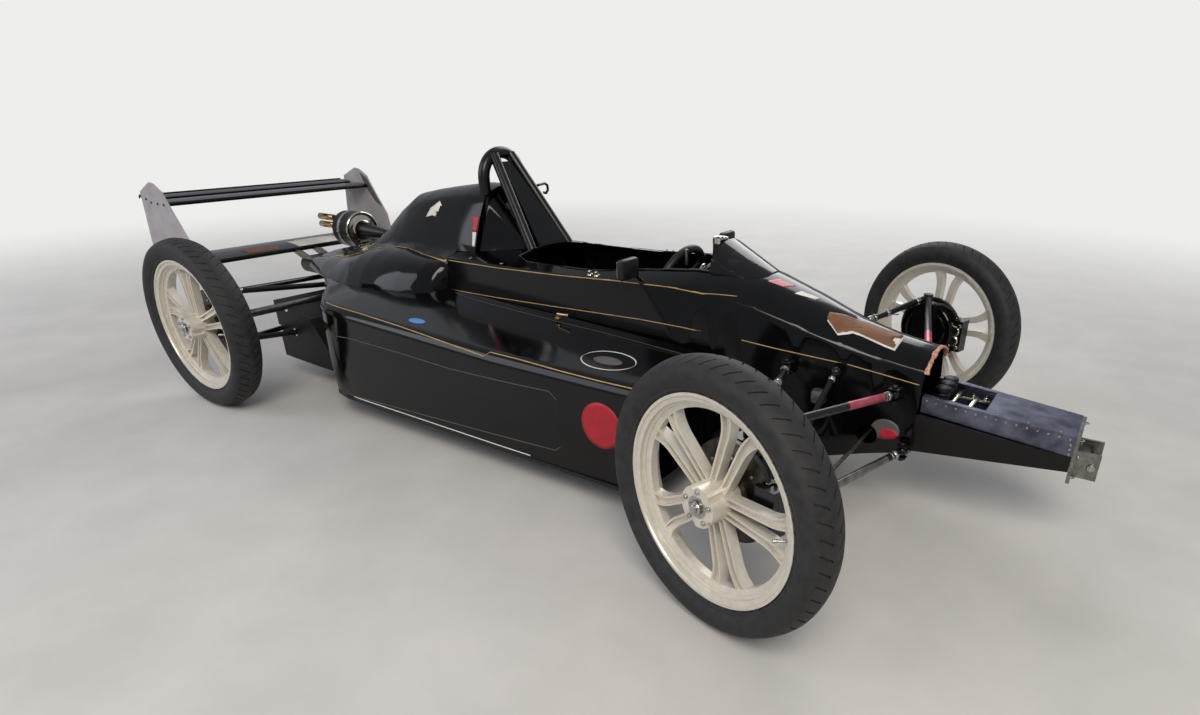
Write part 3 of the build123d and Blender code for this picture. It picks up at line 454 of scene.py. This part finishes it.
def make_tyre(body, name, place):
    """Tyre with two staggered rows of leaning sipes, spun from one tread block."""
    begin()
    section = [(r, a) for r, a in tyre_half] + [(r, -a) for r, a in reversed(tyre_half)]
    chain([mm(r * cos(tread_turn(a)), r * sin(tread_turn(a)), a) for r, a in section])
    pitch = 2 * pi / tread_blocks
    for angle, steps in ((sipe_width, 1), (pitch / 2 - sipe_width, 3)) * 2:
        bpy.ops.mesh.spin(steps=steps, angle=angle, center=(0, 0, 0), axis=(0, 0, 1))
    bpy.ops.mesh.select_all(action="DESELECT")
    bpy.ops.mesh.select_mode(type="FACE")
    bpy.ops.object.mode_set(mode="OBJECT")
    mesh = bpy.context.object.data
    for face in mesh.polygons:
        middle = face.center
        across = middle.z * 1000
        turn = axle_angle(middle) - tread_turn(across)
        row = 1 if across > 0 else -1
        start = 0 if row > 0 else pitch / 2
        face.select = sipe_start < row * across < sipe_end and 0 < (turn - start) % pitch < sipe_width
    bpy.ops.object.mode_set(mode="EDIT")
    bpy.ops.mesh.inset(thickness=0.0001, depth=0)
    shrink = 1 - sipe_depth / tyre_half[-1][0]
    bpy.ops.transform.resize(value=(shrink, shrink, 1), center_override=(0, 0, 0))
    bpy.ops.mesh.select_mode(type="VERT")
    bpy.ops.mesh.select_all(action="SELECT")
    bpy.ops.mesh.spin(steps=tread_blocks - 1, angle=2 * pi - pitch, dupli=True, center=(0, 0, 0), axis=(0, 0, 1))
    bpy.ops.mesh.select_all(action="SELECT")
    bpy.ops.mesh.remove_doubles(threshold=0.00002)
    piece = end(name, body, rubber, place, 40)
    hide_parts(body.replace("wheel_", "tyre_"))


for body, place in wheels.items():
    corner = body.replace("wheel_", "")
    make_tyre(body, f"treaded_tyre_{corner}", place)

    # Wheel nut with its washer, five hub bolts and the valve
    begin()
    lathe([(0, 76), (9, 76), (11, 74), (11, 62), (26, 62), (27, 61), (27, hub_face)], 24)
    stud((0, 0, 62), (0, 0, 1), 19, 9)
    for x, y in around(5, 38, 0.3):
        stud((x, y, hub_face), (0, 0, 1), 6.5, 6)
    tube([(233, 0, 8), (218, 0, 14), (204, 0, 30)], 3.2)
    stud((205, 0, 28), (-0.6, 0, 0.8), 4.4, 12, 10)
    end(f"hub_fasteners_{corner}", body, zinc, place)

    # Bolts that hold the brake disc on its bell
    begin()
    for x, y in around(8, 86):
        stud((x, y, disc_bell_face), (0, 0, 1), 5, 4)
    end(f"disc_bolts_{corner}", body, zinc, place)

# Gold and grey pinstripes, and a white film line along each sidepod's floor edge that is a painted highlight, laid on
# the right side and mirrored to the left
cover_shoulder = [(-1083, -160, 505), (-960, -202, 522), (-810, -218, 560), (-700, -225, 588), (-637, -224, 600),
                  (-571, -204, 606), (-500, -210, 602), (-420, -217, 594), (-320, -230, 590), (-240, -248, 590)]
body_shoulder = [(-224, -251, 591), (18, -250, 592), (327, -249, 602), (560, -240, 612), (745, -219, 614),
                 (860, -200, 604), (960, -170, 610)]
body_waist = [(-224, -256, 481), (12, -255, 484), (321, -254, 493), (650, -241, 500), (800, -222, 494),
              (972, -190, 480), (1100, -172, 466), (1320, -137, 447), (1520, -114, 420)]
deck_edge = [(-560, -562, 446), (-510, -574, 446), (-453, -577, 444), (-335, -578, 441), (-112, -583, 432),
             (96, -590, 420), (300, -594, 406)]
deck_edge_front = [(302, -594, 406), (316, -580, 418), (441, -579, 417), (605, -581, 414), (752, -581, 414),
                   (895, -577, 414)]
deck_foot = [(-173, -283, 479), (-68, -300, 472), (368, -309, 458), (532, -303, 452), (792, -309, 441),
             (895, -312, 437)]
wall_top = [(-488, -600, 320), (-470, -600, 342), (-389, -600, 348), (-111, -600, 345), (139, -600, 338),
            (400, -600, 345), (570, -598, 352), (596, -598, 330), (598, -598, 175), (575, -598, 158),
            (-460, -600, 112), (-486, -600, 130), (-488, -600, 320)]
# Painted highlight: a white film line along the sidepod's floor edge, where light catches that edge
floor_edge_highlight_points = [(-440, -600, 106), (0, -600, 107), (467, -599, 107)]
for side, word in sides:
    for name, points, across, width, target, material in (
            ("shoulder_stripe_rear", cover_shoulder, (0, -0.8, -0.6), 11, "engine_cover", gold_film),
            ("shoulder_stripe_front", body_shoulder, (0, 0, -1), 3.5, "upper_body", gold_film),
            ("waist_stripe", body_waist, (0, 0, -1), 3, "upper_body", gold_film),
            ("deck_edge_stripe_rear", deck_edge, (0, 0.6, 0.4), 5, f"sidepod_{word}", gold_film),
            ("deck_edge_stripe_front", deck_edge_front, (0, 0.6, 0.4), 5, f"sidepod_{word}", gold_film),
            ("deck_foot_stripe", deck_foot, (0, 1, 0), 3, f"sidepod_{word}", grey_film),
            ("wall_outline", wall_top, (0, 0, -1), 3, f"sidepod_{word}", grey_film),
            # painted highlight: white film line along the floor edge
            ("floor_edge_line", floor_edge_highlight_points, (0, 0, 1), 4, f"sidepod_{word}", white_film)):
        if side > 0:
            points = mirrored(points)
            across = (across[0], -across[1], across[2])
        stripe(f"{name}_{word}", points, across, width, target, material)


def oval(centre, half_x, half_y, slope, steps=28):
    """Oval outline on the sidepod's deck: slope is its fall per millimetre away from the body."""
    flat = [(centre[0] + half_x * u, centre[1] + half_y * v) for u, v in around(steps, 1)]
    return [(x, y, centre[2] - slope * (abs(y) - abs(centre[1]))) for x, y in flat]


# Plain film shapes where the car carries its decals: a ring, ovals, flashes and a disc, with nothing written on them
for side, word in sides:
    pod = f"sidepod_{word}"
    spot = (692, side * 467, 433)
    ring = oval(spot, 92, 62, 0.08)
    stripe(f"deck_ring_{word}", ring + ring[:1], (0, -side, 0), 5, pod, white_film)
    patch(f"deck_oval_{word}", oval(spot, 52, 26, 0.08), pod, grey_film)
    patch(f"blue_oval_{word}", oval((-92, side * 526, 442), 38, 17, 0.13), pod, blue_film)
    disc = [(760 + x, side * 598, 284 + z) for x, z in around(28, 72)]
    patch(f"wall_disc_{word}", disc, pod, red_film)
    dome = [(-390, side * 116, 776), (-340, side * 136, 736), (-352, side * 142, 716), (-420, side * 138, 722),
            (-460, side * 138, 712), (-440, side * 128, 748)]
    patch(f"dome_flash_{word}", dome, "engine_cover", white_film)
    flag = [(-174, side * 165, 748), (-141, side * 165, 748), (-141, side * 186, 694), (-160, side * 186, 694)]
    patch(f"dome_flag_{word}", flag, "engine_cover", red_film, 0.8)
    foot = [(-160, side * 186, 692), (-141, side * 186, 692), (-141, side * 204, 642), (-153, side * 204, 642)]
    patch(f"dome_flag_foot_{word}", foot, "engine_cover", white_film, 0.8)
    emblem = [(1455 + 42 * u, side * 166, 281 + 34 * v) for u, v in around(24, 1)]
    patch(f"side_emblem_{word}", emblem, "tub", grey_film, 0.5)
    drop = [(1468 + 26 * u, side * 166, 270 + 19 * v) for u, v in around(24, 1)]
    patch(f"side_emblem_drop_{word}", drop, "tub", red_film, 1.1)

nose_flash = [(1214, -61, 566), (1256, -33, 558), (1329, -14, 538), (1380, -12, 528), (1412, -4, 520), (1430, -12, 516),
              (1424, -74, 497), (1382, -73, 506), (1320, -74, 523), (1276, -80, 533), (1262, -106, 523),
              (1218, -84, 556)]
patch("nose_flash_edge", [(x + 6, y - 9, z) for x, y, z in nose_flash], "upper_body", white_film, 0.6, 9)
patch("nose_flash", nose_flash, "upper_body", tan_film, 2.2, 9)
patch("nose_tab", [(1010, -70, 640), (1060, -58, 628), (1085, -20, 626), (1030, -28, 640)], "upper_body", pink_film)
patch("nose_chip", [(1100, -62, 612), (1160, -40, 598), (1170, -18, 598), (1110, -34, 614)], "upper_body", white_film)

# Riveted seams of the crash box, which narrows and falls towards its front, and the bright fittings in its opening
box_low, box_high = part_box("crash_box")
box_rear, box_front = box_low.x * 1000, box_high.x * 1000
rivet_count = 15
box_half, box_taper, box_fall = 104, 18, 32
side_row_z, top_z = 373, 384
begin()
for step in range(rivet_count):
    share = (step + 0.5) / rivet_count
    x = box_rear + share * (box_front - box_rear)
    half = box_half - box_taper * share
    for side in (-1, 1):
        stud((x, side * (half - 0.4), side_row_z - box_fall * share), (0, side, 0), 3.6, 2.2, 8, 0.4)
        if step % 3 == 1:
            stud((x, side * (half - 9), top_z - box_fall * share - 0.4), (0, 0, 1), 3.4, 2.2, 8, 0.4)
for side in (-1, 1):
    for z in (300, 314, 328):
        stud((box_front - 9, side * 86.2, z), (0, side, 0), 3.4, 2.2, 8, 0.4)
for y in (-60, -30, 0, 30, 60):
    stud((box_front - 0.3, y, 344), (1, 0, 0), 3.4, 2.2, 8, 0.4)
end("crash_box_rivets", "chassis", zinc)

begin()
for y in (-64, 64):
    block((1556, y - 14, 344), (1690, y + 14, 349), 1.2)
    for x in (1572, 1600, 1640, 1676):
        stud((x, y, 349), (0, 0, 1), 7, 7)
        stud((x, y, 356), (0, 0, 1), 3.2, 5, 12)
block((1600, -50, 345), (1612, 50, 368), 1.5)
block((1648, -50, 345), (1660, 50, 362), 1.5)
tube([(1606, -78, 360), (1606, 78, 360)], 5, 16, 1)
end("crash_box_fittings", "chassis", bright)

# Fluid reservoirs that stand in the opening behind the cut edge
begin()
for y in (-42, 4, 48):
    lathe([(0, 0), (19, 0), (21, 2), (21, 34), (18, 37), (18, 41), (22, 43), (22, 52), (19, 54), (0, 54)], 24,
          (1572, y, 348))
end("fluid_reservoirs", "chassis", plastic)

# Torn edge left by the missing nose cone
begin()
arch = [(box_half * cos(pi * n / 24), 449 + 52 * sin(pi * n / 24) ** 1.15) for n in range(25)]
chain([mm(1527, y, z) for y, z in arch])
bpy.ops.mesh.extrude_region_move(TRANSFORM_OT_translate={"value": (0.012, 0, 0)})
bpy.ops.mesh.select_all(action="SELECT")
bpy.ops.mesh.subdivide(number_cuts=2)
piece = end("torn_nose_edge", "chassis", raw_fibre)
bpy.ops.object.modifier_add(type="DISPLACE")
tear = bpy.data.textures.new("tear", "CLOUDS")
tear.noise_scale = 0.02
ragged = piece.modifiers[-1]
ragged.texture = tear
ragged.texture_coords = "LOCAL"
ragged.direction = "X"
ragged.strength = 0.016
bpy.ops.object.modifier_apply(modifier=ragged.name)
bpy.ops.object.modifier_add(type="SOLIDIFY")
layer = piece.modifiers[-1]
layer.thickness = 0.006
bpy.ops.object.modifier_apply(modifier=layer.name)

# Bolts of the nose mount and the pin through its lugs
begin()
for y in (-66, 66):
    for z in (228, 338):
        lathe([(5, 0), (9.5, 0), (9.5, 1.6), (5, 1.6)], 20, (1940.5, y, z))
    stud((1941, y * 0.75, 283), (1, 0, 0), 7, 6)
for side in (-1, 1):
    stud((1980, side * 54, 262), (0, side, 0), 12, 7)
    stud((1980, side * 61, 262), (0, side, 0), 5, 5, 12)
end("nose_mount_hardware", "chassis", zinc)

# Quick-release screws along the panels' joints
begin()
for side in (-1, 1):
    for x in (-180, 60, 300, 540, 780):
        stud((x, side * 253.5, 470 - 0.06 * (x + 230)), (0, side, 0), 7, 1.6, 16, 0.3)
    for x in (-120, 40):
        stud((x, side * 236, 604), (0, side * 0.2, 1), 7, 2.2, 16, 0.3)
    for x in (-400, -200, 0, 200, 420, 640, 860):
        stud((x, side * 290, 482 - 0.045 * (x + 400)), (0, side * 0.1, 1), 6, 2.0, 16, 0.3)
end("panel_screws", "chassis", zinc)

# Towing eye on the fairing's far side
begin()
tube([(-128, 60, 800), (-120, 150, 830), (-132, 200, 832)], 5)
tube([(-132, 200, 832), (-132, 214, 824), (-132, 216, 806), (-132, 204, 794), (-132, 190, 798)], 5)
end("towing_eye", "chassis", satin)

# Tail pipes' bright ends, the silencer's front band and its mounting strap
along_car = Matrix(((0, 0, 1, 0), (0, 1, 0, 0), (-1, 0, 0, 0), (0, 0, 0, 1)))
silencer_y, silencer_z = 170, 540
begin()
for drop in (0, -38):
    lathe([(11, 0), (11, 122), (14.2, 122), (15.6, 120), (15.6, 1), (15, 0), (11, 0)], 28, (drop, 0, 0))
end("tail_pipe_ends", "chassis", tinted,
    Matrix.Translation(mm(-1692, silencer_y, silencer_z + 4)) @ along_car)
begin()
lathe([(80, 0), (86.3, 0), (89, 2), (89, 9), (86.3, 11), (84, 11), (84, 3), (80, 0)], 48)
lathe([(45, 11), (46.5, 12), (60, 3), (80, 1.5), (80, 0.5), (58, 0.5), (45, 6), (45, 11)], 48)
end("silencer_front_rim", "chassis", bright,
    Matrix.Translation(mm(-1357, silencer_y, silencer_z)) @ along_car)
begin()
lathe([(86.4, 0), (88.4, 0), (88.4, 18), (86.4, 18), (86.4, 0)], 48)
stud((0, 88, 9), (0, 1, 0), 8, 14)
stud((0, -88, 9), (0, -1, 0), 8, 6)
end("silencer_strap", "chassis", zinc,
    Matrix.Translation(mm(-1430, silencer_y, silencer_z)) @ along_car)

# Gearbox: ribs, cover bolts, and rubber boots and bolts at the drive flanges
rear_axle_x, axle_z = -1080, 329
begin()
for x in (-1280, -1220, -1160, -1010):
    block((x - 3, -104, 170), (x + 3, 104, 404), 1.5)
block((-1322, -70, 190), (-1334, 70, 350), 3)
for y in (-58, 58):
    for z in (202, 270, 338):
        stud((-1334, y, z), (-1, 0, 0), 6, 5)
end("gearbox_ribs", "chassis", cast)
for side, word in sides:
    begin()
    lathe([(17, 0), (30, 0), (33, 3), (33, 8), (27, 11), (36, 16), (28, 20), (40, 26), (31, 31), (44, 38), (34, 43),
           (46, 51), (52, 56), (52, 64), (17, 64)], 32)
    place = Matrix.Translation(mm(rear_axle_x, side * 218, axle_z)) @ Matrix.Rotation(side * pi / 2, 4, "X")
    end(f"shaft_boot_{word}", "chassis", rubber, place)
    begin()
    for x, z in around(6, 48):
        stud((rear_axle_x + x, side * 150, axle_z + z), (0, side, 0), 6, 6)
    end(f"flange_bolts_{word}", "chassis", zinc)

# Rear wing: trim strip on the flap, screws through the end plates, and the beam's pale pads
begin()
block((-1980, -506, 716), (-1976, 506, 728), 0.8)
for side in (-1, 1):
    for x, z in ((-1745, 700), (-1800, 701), (-1860, 702), (-1900, 714), (-1960, 718), (-1620, 452), (-1700, 452),
                 (-1780, 450)):
        stud((x, side * 512.2, z), (0, side, 0), 6, 3, 12, 0.3)
end("wing_hardware", "chassis", satin)
patch("beam_tan_pad", [(-1625, -270, 460), (-1625, -110, 460), (-1690, -110, 462), (-1690, -270, 462)], "wing_planes",
      tan_film)
patch("beam_white_pad", [(-1615, -20, 460), (-1615, 230, 460), (-1760, 230, 462), (-1760, -20, 462)], "wing_planes",
      white_film)
patch("plate_panel", [(-1640, 507, 600), (-1700, 507, 690), (-1740, 507, 745), (-1790, 507, 770), (-1760, 507, 700),
                      (-1690, 507, 620)], "end_plate_left", grey_film)

# Mirrors: rounded shells on stalks, each with its glass let in from behind
begin()
for side in (-1, 1):
    inner, outer = sorted((side * 262, side * 350))
    block((641, inner, 640), (669, outer, 704), 11)
    tube([(655, side * 225, 614), (655, side * 268, 646)], 6)
    stud((655, side * 236, 618), (0, side * 0.7, 0.7), 10, 8, 16)
shells = end("mirror_shells", "chassis", plastic)
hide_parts("mirrors")
begin()
for side in (-1, 1):
    inner, outer = sorted((side * 270, side * 342))
    block((639.4, inner, 648), (641.4, outer, 696), 0.6)
end("mirror_glasses", "chassis", mirror)


def strap(points, across, depth):
    """Webbing strap through points in millimetres: across is its width and depth its thickness, as vectors."""
    chain([mm(*p) - mm(*across) / 2 for p in points])
    bpy.ops.mesh.extrude_region_move(TRANSFORM_OT_translate={"value": mm(*across)})
    bpy.ops.mesh.select_linked()
    bpy.ops.mesh.extrude_region_move(TRANSFORM_OT_translate={"value": mm(*depth)})
    bpy.ops.mesh.select_linked()


# Cockpit: harness straps that lie on the seat, and their buckle
begin()
for side in (-1, 1):
    shoulder = [(-122, side * 62, 566), (-104, side * 61, 560), (-58, side * 54, 466), (2, side * 42, 343),
                (58, side * 26, 229), (92, side * 14, 180)]
    lap = [(150, side * 166, 230), (142, side * 150, 184), (128, side * 100, 172), (112, side * 34, 178)]
    strap(shoulder, (0, 44, 0), (1.9, 0, 1.1))
    strap(lap, (38, 0, -8), (0.4, 0, 2.2))
end("harness_straps", "chassis", webbing)
begin()
lathe([(0, 0), (27, 0), (30, 3), (30, 12), (26, 16), (12, 17), (10, 20), (0, 20)], 32)
stud((0, 18, 16), (0, 0, 1), 5, 4)
end("harness_buckle", "chassis", anodised,
    Matrix.Translation(mm(98, 0, 178)) @ Matrix.Rotation(radians(28), 4, "Y"))

# Instruments on the dash, with their rims, switches below, and the ring of the pod above
facing_back = Matrix(((0, 0, -1, 0), (0, 1, 0, 0), (1, 0, 0, 0), (0, 0, 0, 1)))
dash_face = Matrix.Translation(mm(800, 0, 0)) @ facing_back
dials = [(655, 0, 36), (640, 92, 25), (640, -92, 25)]  # height, distance from the middle, radius
begin()
for z, y, radius in dials:
    lathe([(0, 0), (0, 1.5), (radius, 1.5), (radius, 0)], 32, (z, y, 0))
end("dial_faces", "chassis", dial, dash_face)
begin()
for z, y, radius in dials:
    lathe([(radius, 0), (radius, 7), (radius + 2, 8), (radius + 4, 6), (radius + 4, 0), (radius, 0)], 32, (z, y, 0))
    block((z - 1, y - 1.2, 1.5), (z + radius * 0.75, y + 1.2, 3))
for n in range(6):
    stud((585, -75 + 30 * n, 0), (0, 0, 1), 8, 3)
    stud((585, -75 + 30 * n, 3), (0.4, 0, 1), 2.6, 14, 10)
end("dial_rims", "chassis", bright, dash_face)
begin()
lathe([(0, 0), (19, 0), (20, 3), (24, 4), (26.5, 1), (26.5, -14), (25.1, -14), (25.1, 0), (0, 0)], 32, (802, 0, 735))
end("pod_ring", "chassis", bright)

# Quick-release boss of the steering wheel
column_back = Vector((-730, 0, 254)).normalized()
begin()
lathe([(0, 0), (37, 0), (40, 3), (40, 9), (36, 12), (22, 12), (20, 16), (20, 24), (16, 28), (0, 28)], 32)
for x, y in around(6, 30):
    stud((x, y, 12), (0, 0, 1), 4, 3)
end("wheel_boss", "helm", steel,
    Matrix.Translation(mm(636, 0, 561)) @ column_back.to_track_quat("Z", "Y").to_matrix().to_4x4())

# Gear lever with its knob, two posts on the dash, and pull handles on the body's sides
begin()
tube([(470, -168, 330), (462, -172, 440), (470, -170, 522)], 6)
lathe([(0, -20), (9, -18), (13, -8), (17, 4), (15, 14), (8, 19), (0, 20)], 20, (470, -170, 536))
tube([(712, -64, 652), (712, -64, 700)], 5)
tube([(772, 120, 640), (772, 120, 668)], 7)
end("gear_lever", "chassis", steel)
begin()
for side in (-1, 1):
    for x in (438, 466):
        stud((x, side * 226, 612), (0, side * 0.3, 1), 10, 5, 16)
        stud((x, side * 227, 616), (0, side * 0.3, 1), 5, 12, 12)
end("pull_handles", "chassis", bright)

# Stitched pad on the headrest's slope
begin()
block((-62, -74, 0), (62, 74, 20), 8)
bpy.ops.mesh.select_all(action="SELECT")
bpy.ops.mesh.subdivide(number_cuts=2, smoothness=0.3)
end("headrest_pad", "chassis", foam,
    Matrix.Translation(mm(-40, 0, 738)) @ Matrix.Rotation(radians(42), 4, "Y"))

# Rubber trim round the cockpit's opening
opening_rear, opening_front = 75, 830
opening = [(opening_rear, -175), (opening_rear, 0), (opening_rear, 175), (105, 190), (135, 205), (280, 205), (420, 205),
           (560, 176), (700, 147), (opening_front, 120), (opening_front, 0), (opening_front, -120), (700, -147),
           (560, -176), (420, -205), (280, -205), (135, -205), (105, -190), (opening_rear, -175)]
begin()
for grow in (1.5, 9):
    chain([mm(x + grow * ((x == opening_front) - (x == opening_rear)), y + grow * ((y > 0) - (y < 0)), 660)
           for x, y in opening])
bpy.ops.mesh.select_all(action="SELECT")
bpy.ops.mesh.remove_doubles(threshold=0.0001)
bpy.ops.mesh.bridge_edge_loops()
bpy.ops.mesh.subdivide(number_cuts=3)
wrap(end("cockpit_trim", "chassis", rubber), "upper_body", 2.2)

# Front suspension: clevis plates with their bolts, lock nuts, and sleeves on the tubes
low_ball, high_ball = (1310, 734, 196), (1310, 734, 462)
rear_low_ball, rear_high_ball = (rear_axle_x, 634.7, 232), (rear_axle_x, 634.7, 430)
low_front, low_rear, high_front, high_rear = (1515, 176, 236), (1130, 248, 190), (1470, 176, 400), (1160, 222, 432)
front_arms = [(low_front, low_ball), (low_rear, low_ball), (high_front, high_ball), (high_rear, high_ball)]
rear_arms = [((-975, 115.3, 200), rear_low_ball), ((-1270, 115.3, 200), rear_low_ball),
             ((-990, 115.3, 385), rear_high_ball), ((-1230, 115.3, 385), rear_high_ball)]
push_top, push_foot = (1300, 190, 436), (1310, 640, 205)


def on_side(side, *points):
    """Points given for the left side, taken to the side with this sign."""
    return [(x, side * y, z) for x, y, z in points]


for side, word in sides:
    begin()
    for (x, y, z), _ in front_arms + rear_arms:
        for lift_z in (15.5, -19.5):
            block((x - 15, min(side * (y - 12), side * (y + 13)), z + lift_z),
                  (x + 15, max(side * (y - 12), side * (y + 13)), z + lift_z + 4), 1)
        stud((x, side * y, z + 19.5), (0, 0, 1), 9, 7)
        stud((x, side * y, z - 19.5), (0, 0, -1), 9, 9)
    end(f"clevis_plates_{word}", "chassis", satin)
    begin()
    for mount, ball in front_arms:
        inner, outer = on_side(side, mount, ball)
        nut(inner, outer, 0.045, 15, 14)
        nut(inner, outer, 0.075, 13, 9)
        if mount == high_rear:
            for share, height in ((0.28, 26), (0.34, 10), (0.48, 18), (0.84, 22)):
                nut(inner, outer, share, 15, height)
    for mount, ball in rear_arms:
        inner, outer = on_side(side, mount, ball)
        nut(inner, outer, 0.05, 15, 14)
        nut(inner, outer, 0.93, 15, 12)
    for share in (0.05, 0.93):
        nut(*on_side(side, push_top, push_foot), share, 12, 12)
    end(f"rod_end_nuts_{word}", "chassis", zinc)
    begin()
    for mount in (low_front, low_rear):
        inner, outer = on_side(side, mount, low_ball)
        tube([along(inner, outer, 0.12), along(inner, outer, 0.94)], 11.5, 20)
    end(f"lower_arm_sleeves_{word}", "chassis", steel)
    begin()
    inner, outer = on_side(side, high_front, high_ball)
    tube([along(inner, outer, 0.1), along(inner, outer, 0.38)], 11.8, 20)
    end(f"upper_arm_sleeve_{word}", "chassis", anodised)

# Calipers: through bolts, bleed screw and hose, and the pressed brake covers. In front they turn with the knuckles
for body, place in wheels.items():
    corner = body.replace("wheel_", "")
    fore = 1 if corner.endswith("right") else -1
    begin()
    for height in (-42, 42):
        stud((fore * 132, height, caliper_face), (0, 0, -1), 9, 9)
        stud((fore * 100, height, caliper_face), (0, 0, -1), 7, 6)
        lathe([(0, 0), (20, 0), (20, -2), (17, -5), (0, -5)], 24, (fore * 114, height * 0.45, caliper_face))
    stud((fore * 118, 60, -60), (0, 1, 0), 5, 14)
    stud((fore * 104, 60, -52), (0, 1, 0), 8, 5)
    rider = corner.replace("front", "knuckle") if corner.startswith("front") else "chassis"
    end(f"caliper_fittings_{corner}", rider, bright, place)
    begin()
    tube([(fore * 104, 64, -52), (fore * 92, 96, -72), (fore * 60, 116, -96), (fore * 26, 112, -128)], 4.5, 10)
    end(f"brake_hose_{corner}", rider, rubber, place)
    begin()
    lathe([(107, -83), (107, -88), (104, -91), (98, -92), (84, -91), (80, -94), (62, -96), (58, -94), (58, -83),
           (107, -83)], 40)
    for x, y in around(6, 92, 0.5):
        stud((x, y, -91.5), (0, 0, -1), 4, 3)
    end(f"brake_cover_dish_{corner}", rider, gloss, place)

# Cast housing on the tub's side between the arms, with its two bolts
begin()
for side in (-1, 1):
    inner, outer = sorted((side * 162, side * 198))
    block((1230, inner, 326), (1274, outer, 370), 11)
    for x in (1242, 1262):
        stud((x, side * 198, 348), (0, side, 0), 5, 4)
end("rocker_housings", "chassis", cast)

# Tap-like fitting on the deck beside the body
begin()
for side in (-1, 1):
    stud((350, side * 300, 466), (0, 0, 1), 11, 7, 16)
    tube([(350, side * 300, 470), (350, side * 300, 484), (392, side * 302, 486)], 4.5)
    stud((392, side * 302, 486), (1, 0, 0), 7, 8)
end("deck_fitting", "chassis", tinted)

# Camera at the photograph's viewing angle
camera_place = Vector((1.9487, -2.0278, 1.1263))
yaw, pitch, roll = 2.131, -0.444, 0.010
photo_width, photo_height = 1200, 715
lens_px, centre_px = 702.94, (686.0, 438.1)
ahead = Vector((cos(pitch) * cos(yaw), cos(pitch) * sin(yaw), sin(pitch)))
level = ahead.cross(Vector((0, 0, 1))).normalized()
lift = level.cross(ahead)
across = cos(roll) * level + sin(roll) * lift
upward = cos(roll) * lift - sin(roll) * level
data = bpy.data.cameras.new("camera")
data.sensor_width = 36
data.lens = lens_px / photo_width * data.sensor_width
data.shift_x = (photo_width / 2 - centre_px[0]) / photo_width
data.shift_y = (centre_px[1] - photo_height / 2) / photo_width
camera = bpy.data.objects.new("camera", data)
camera.matrix_world = Matrix((
    (across.x, upward.x, -ahead.x, camera_place.x), (across.y, upward.y, -ahead.y, camera_place.y),
    (across.z, upward.z, -ahead.z, camera_place.z), (0, 0, 0, 1)))
bpy.context.scene.collection.objects.link(camera)
bpy.context.scene.camera = camera

# Pale floor
bpy.ops.object.select_all(action="DESELECT")
bpy.ops.mesh.primitive_plane_add(size=60)
floor = bpy.context.object
floor.name = "floor"
pale_floor, shader = new_material("painted_concrete_floor", "#c9c7c3", 0.75)
finish_surface(pale_floor, shader, ("#c4c2be", "#cecbc7"), 3, 0.7, 0.8)
# Far from the car the camera alone sees the floor run out into the white backdrop
backdrop_white = "#eeeeec"
fade_start, fade_end = 2.6, 7.0
place = add_node(pale_floor, "ShaderNodeTexCoord")
reach = add_node(pale_floor, "ShaderNodeVectorMath", {"operation": "LENGTH"}, input0=place.outputs["Object"])
fade = add_node(pale_floor, "ShaderNodeMapRange",
                {"interpolation_type": "SMOOTHSTEP", "From Min": fade_start, "From Max": fade_end},
                Value=reach.outputs["Value"])
seen = add_node(pale_floor, "ShaderNodeLightPath")
share = add_node(pale_floor, "ShaderNodeMath", {"operation": "MULTIPLY"}, input0=fade.outputs["Result"],
                 input1=seen.outputs["Is Camera Ray"])
glow = add_node(pale_floor, "ShaderNodeEmission", {"Color": linear(backdrop_white)})
blend = add_node(pale_floor, "ShaderNodeMixShader", None, input0=share.outputs["Value"], input1=shader.outputs["BSDF"],
                 input2=glow.outputs["Emission"])
# From below the camera alone sees through the floor, so the underside shows
side = add_node(pale_floor, "ShaderNodeNewGeometry")
below = add_node(pale_floor, "ShaderNodeMath", {"operation": "MULTIPLY"}, input0=side.outputs["Backfacing"],
                 input1=seen.outputs["Is Camera Ray"])
clear = add_node(pale_floor, "ShaderNodeBsdfTransparent")
both = add_node(pale_floor, "ShaderNodeMixShader", None, input0=below.outputs["Value"], input1=blend.outputs["Shader"],
                input2=clear.outputs["BSDF"])
pale_floor.node_tree.links.new(pale_floor.node_tree.nodes["Material Output"].inputs["Surface"], both.outputs["Shader"])
floor.data.materials.append(pale_floor)
floor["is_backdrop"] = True

# Soft bluish light all round, with a white backdrop for the camera alone, and three area lamps aimed at the car
aim = Vector((0, 0, 0.3))
world = bpy.data.worlds.new("studio")
world.use_nodes = True
bpy.context.scene.world = world
tree = world.node_tree
background = tree.nodes["Background"]
background.inputs["Color"].default_value = linear("#dfe3ea")
background.inputs["Strength"].default_value = 0.45
white = tree.nodes.new("ShaderNodeBackground")
white.inputs["Color"].default_value = linear(backdrop_white)
ray = tree.nodes.new("ShaderNodeLightPath")
either = tree.nodes.new("ShaderNodeMixShader")
tree.links.new(either.inputs[0], ray.outputs["Is Camera Ray"])
tree.links.new(either.inputs[1], background.outputs["Background"])
tree.links.new(either.inputs[2], white.outputs["Background"])
tree.links.new(tree.nodes["World Output"].inputs["Surface"], either.outputs["Shader"])
for name, place, size, power, colour in (
        ("key", (3.5, -4.0, 5.0), 3.0, 260, "#fff6ea"),
        ("fill", (-4.0, -4.5, 3.5), 4.0, 120, "#eef2ff"),
        ("rim", (-1.0, 5.0, 4.0), 4.0, 160, "#ffffff")):
    lamp = bpy.data.lights.new(name, "AREA")
    lamp.energy = power
    lamp.size = size
    lamp.color = linear(colour)[:3]
    holder = bpy.data.objects.new(name, lamp)
    holder.location = place
    holder.rotation_euler = (aim - Vector(place)).to_track_quat("-Z", "Y").to_euler()
    bpy.context.scene.collection.objects.link(holder)
bpy.context.scene.view_settings.view_transform = "Standard"

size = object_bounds()
